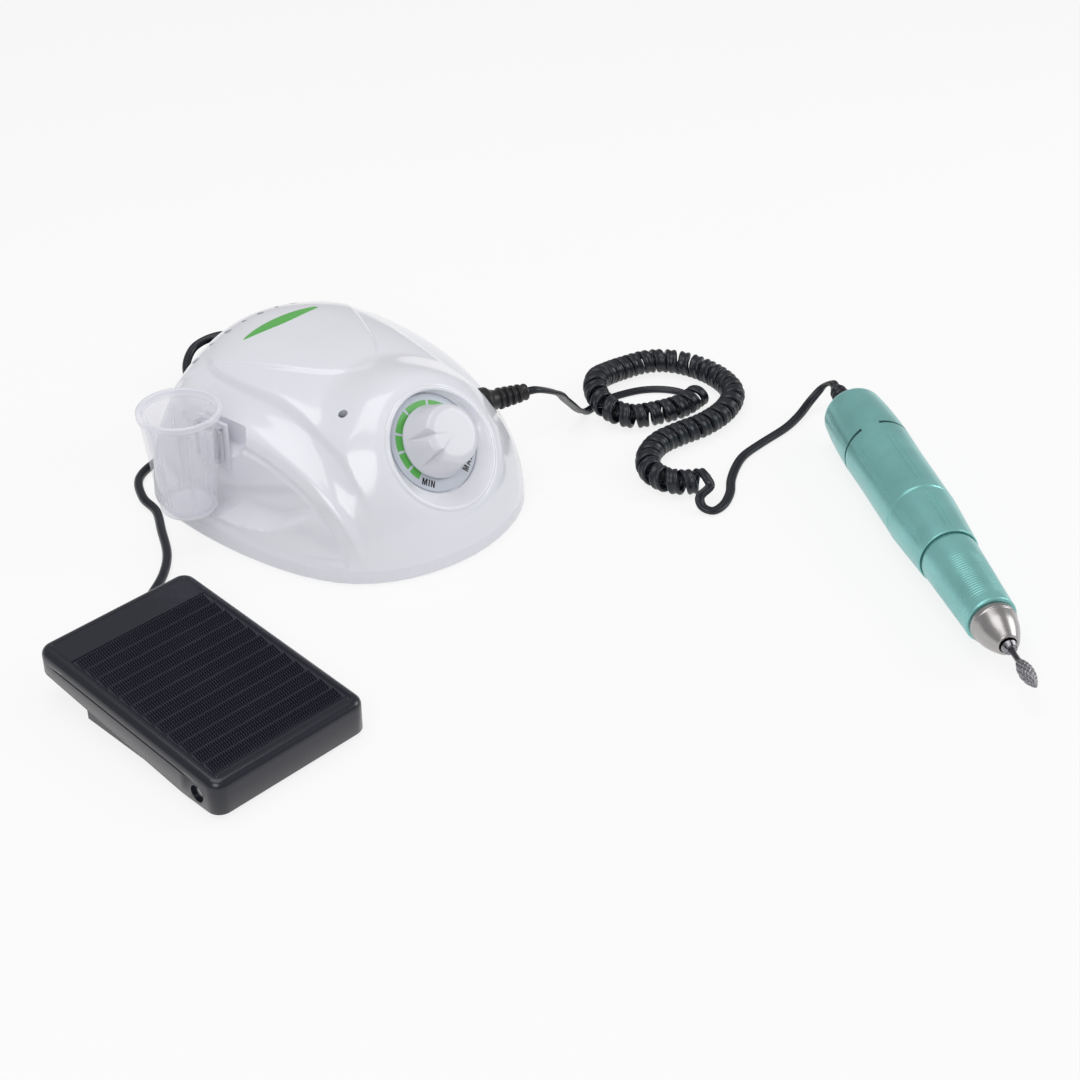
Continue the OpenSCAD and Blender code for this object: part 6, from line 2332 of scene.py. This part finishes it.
    def pin(self) -> Mesh:
        """Hinge pin with rounded ends."""
        half = self.half_w - 1.2
        profile = rounded([(0.0, -half, 0), (2.0, -half, 0.5), (2.0, half, 0.5), (0.0, half, 0)], 0.3)
        return turned(profile, 36, frame_of(self.at + [0.0, self.pin_y, self.pin_z], (1.0, 0.0, 0.0), UP))

    def spring(self) -> Mesh:
        """Return spring at the length that it has under a full press.

        Returns:
            Points and faces.
        """
        k = np.linspace(0.0, 1.0, 24 * self.spring_turns + 1)
        a = 2.0 * math.pi * self.spring_turns * k
        path = np.stack([self.spring_r * np.cos(a), self.spring_y + self.spring_r * np.sin(a),
                         self.spring_low + self.spring_rise * k], axis=1)
        return swept(path + self.at, flat_sides(headings(path)), round_section(self.spring_wire, 10))

    def build(self) -> None:
        """Makes the treadle, mat, pin and spring."""
        self.dress(self.treadle(), Body.TREADLE, "pedal_black", "treadle")
        self.dress(mesh_object("pedal_mat", *self.mat()), Body.TREADLE, "mat_black", "tread_mat")
        self.dress(self.knurl(self.finishes["mat_black"]), Body.TREADLE, "mat_black")
        spring = mesh_object("pedal_spring", *self.spring(), 60)
        self.dress(spring, Body.SET, "screw_steel", "return_spring")
        pin = mesh_object("pedal_pin", *self.pin())
        # The pin takes the darker bur steel, not its slot's steel: painted shade of the recess that it sits
        # in
        self.dress(pin, Body.TREADLE, "screw_steel", "hinge_pin", look="bur_steel")


HAND_WAY = tuple(Handpiece().way)

FINISHES = {
    "shell_white": Moulded((0.84, 0.845, 0.905), 0.16, 0.5, mottle=0.01),
    "tray_white": Moulded((0.82, 0.825, 0.885), 0.3, mottle=0.02),
    "foot_rubber": Rubber((0.05, 0.05, 0.055), 0.7),
    "screw_steel": TurnedMetal((0.60, 0.61, 0.63), (0.0, 0.0, 1.0), 0.28),
    "dial_grey": Moulded((0.60, 0.64, 0.72), 0.35, mottle=0.02),
    "knob_white": Moulded((0.74, 0.74, 0.80), 0.24, 0.3, mottle=0.01),
    "pot_phenolic": Moulded((0.22, 0.13, 0.06), 0.5, mottle=0.2),
    "brass": TurnedMetal((0.78, 0.58, 0.26), (0.0, 1.0, 0.0), 0.3),
    "lamp_green": Moulded((0.01, 0.09, 0.03), 0.12, 0.6),
    "badge_green": Moulded((0.12, 0.47, 0.1), 0.42, 0.15, mottle=0.02),
    "cup_frosted": Frosted((0.90, 0.90, 0.98)),
    "core_iron": Wound((0.16, 0.17, 0.19), (0.0, 0.0, 1.0), 0.7, 0.7),
    "copper_wire": Wound((0.60, 0.26, 0.09), HAND_WAY, 0.5, 0.9),
    "board_green": Moulded((0.02, 0.17, 0.06), 0.3, 0.3, mottle=0.12),
    "can_grey": Moulded((0.05, 0.06, 0.09), 0.3, 0.2, mottle=0.1),
    "sink_aluminium": TurnedMetal((0.62, 0.63, 0.65), (0.0, 0.0, 1.0), 0.35),
    "black_plastic": Moulded((0.009, 0.009, 0.011), 0.36, mottle=0.15),
    "cord_black": Moulded((0.004, 0.006, 0.013), 0.33, 0.05, mottle=0.2, grain_mm=0.5),
    "mint_metal": SatinMetal((0.25, 0.575, 0.555)),
    "nose_steel": TurnedMetal((0.46, 0.44, 0.44), HAND_WAY, 0.3),
    "bur_steel": TurnedMetal((0.30, 0.30, 0.32), HAND_WAY, 0.3),
    "magnet_grey": Rubber((0.10, 0.10, 0.11), 0.55, 0.8),
    "pedal_black": Moulded((0.009, 0.010, 0.019), 0.24, 0.15, mottle=0.15),
    "mat_black": Rubber((0.015, 0.017, 0.028), 0.3, 0.6),
}


def finish_solids(nodes: dict[str, Piece], record: dict, finishes: Finishes) -> None:
    """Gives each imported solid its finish, by its material slot.

    Args:
        nodes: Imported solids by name.
        record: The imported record.
        finishes: Materials by slot name.
    """
    for row in record["subparts"]:
        solid = nodes[row["node"]]
        for place in solid.material_slots:
            place.material = finishes[row["material_slot"]]


def main() -> None:
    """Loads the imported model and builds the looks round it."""
    logging.basicConfig(level=logging.INFO, format="%(name)s: %(message)s")
    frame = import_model()
    nodes = frame["nodes"]
    finishes = {slot: finish.material(slot) for slot, finish in FINISHES.items()}
    finish_solids(nodes, frame["record"], finishes)
    Studio().build()
    hand = Handpiece()
    HandpieceCord(finishes).build(hand)
    PedalCord(finishes).build(nodes)
    shell = Shell(finishes)
    shell.build()
    Dial(finishes, shift_frame(shell.at) @ shell.dial_frame()).build()
    Fittings(finishes).build(shell)
    Cup(finishes).build(shell)
    HandpieceSkin(finishes, hand.frame()).build()
    Pedal(finishes).build()


if __name__ == "__main__":
    main()
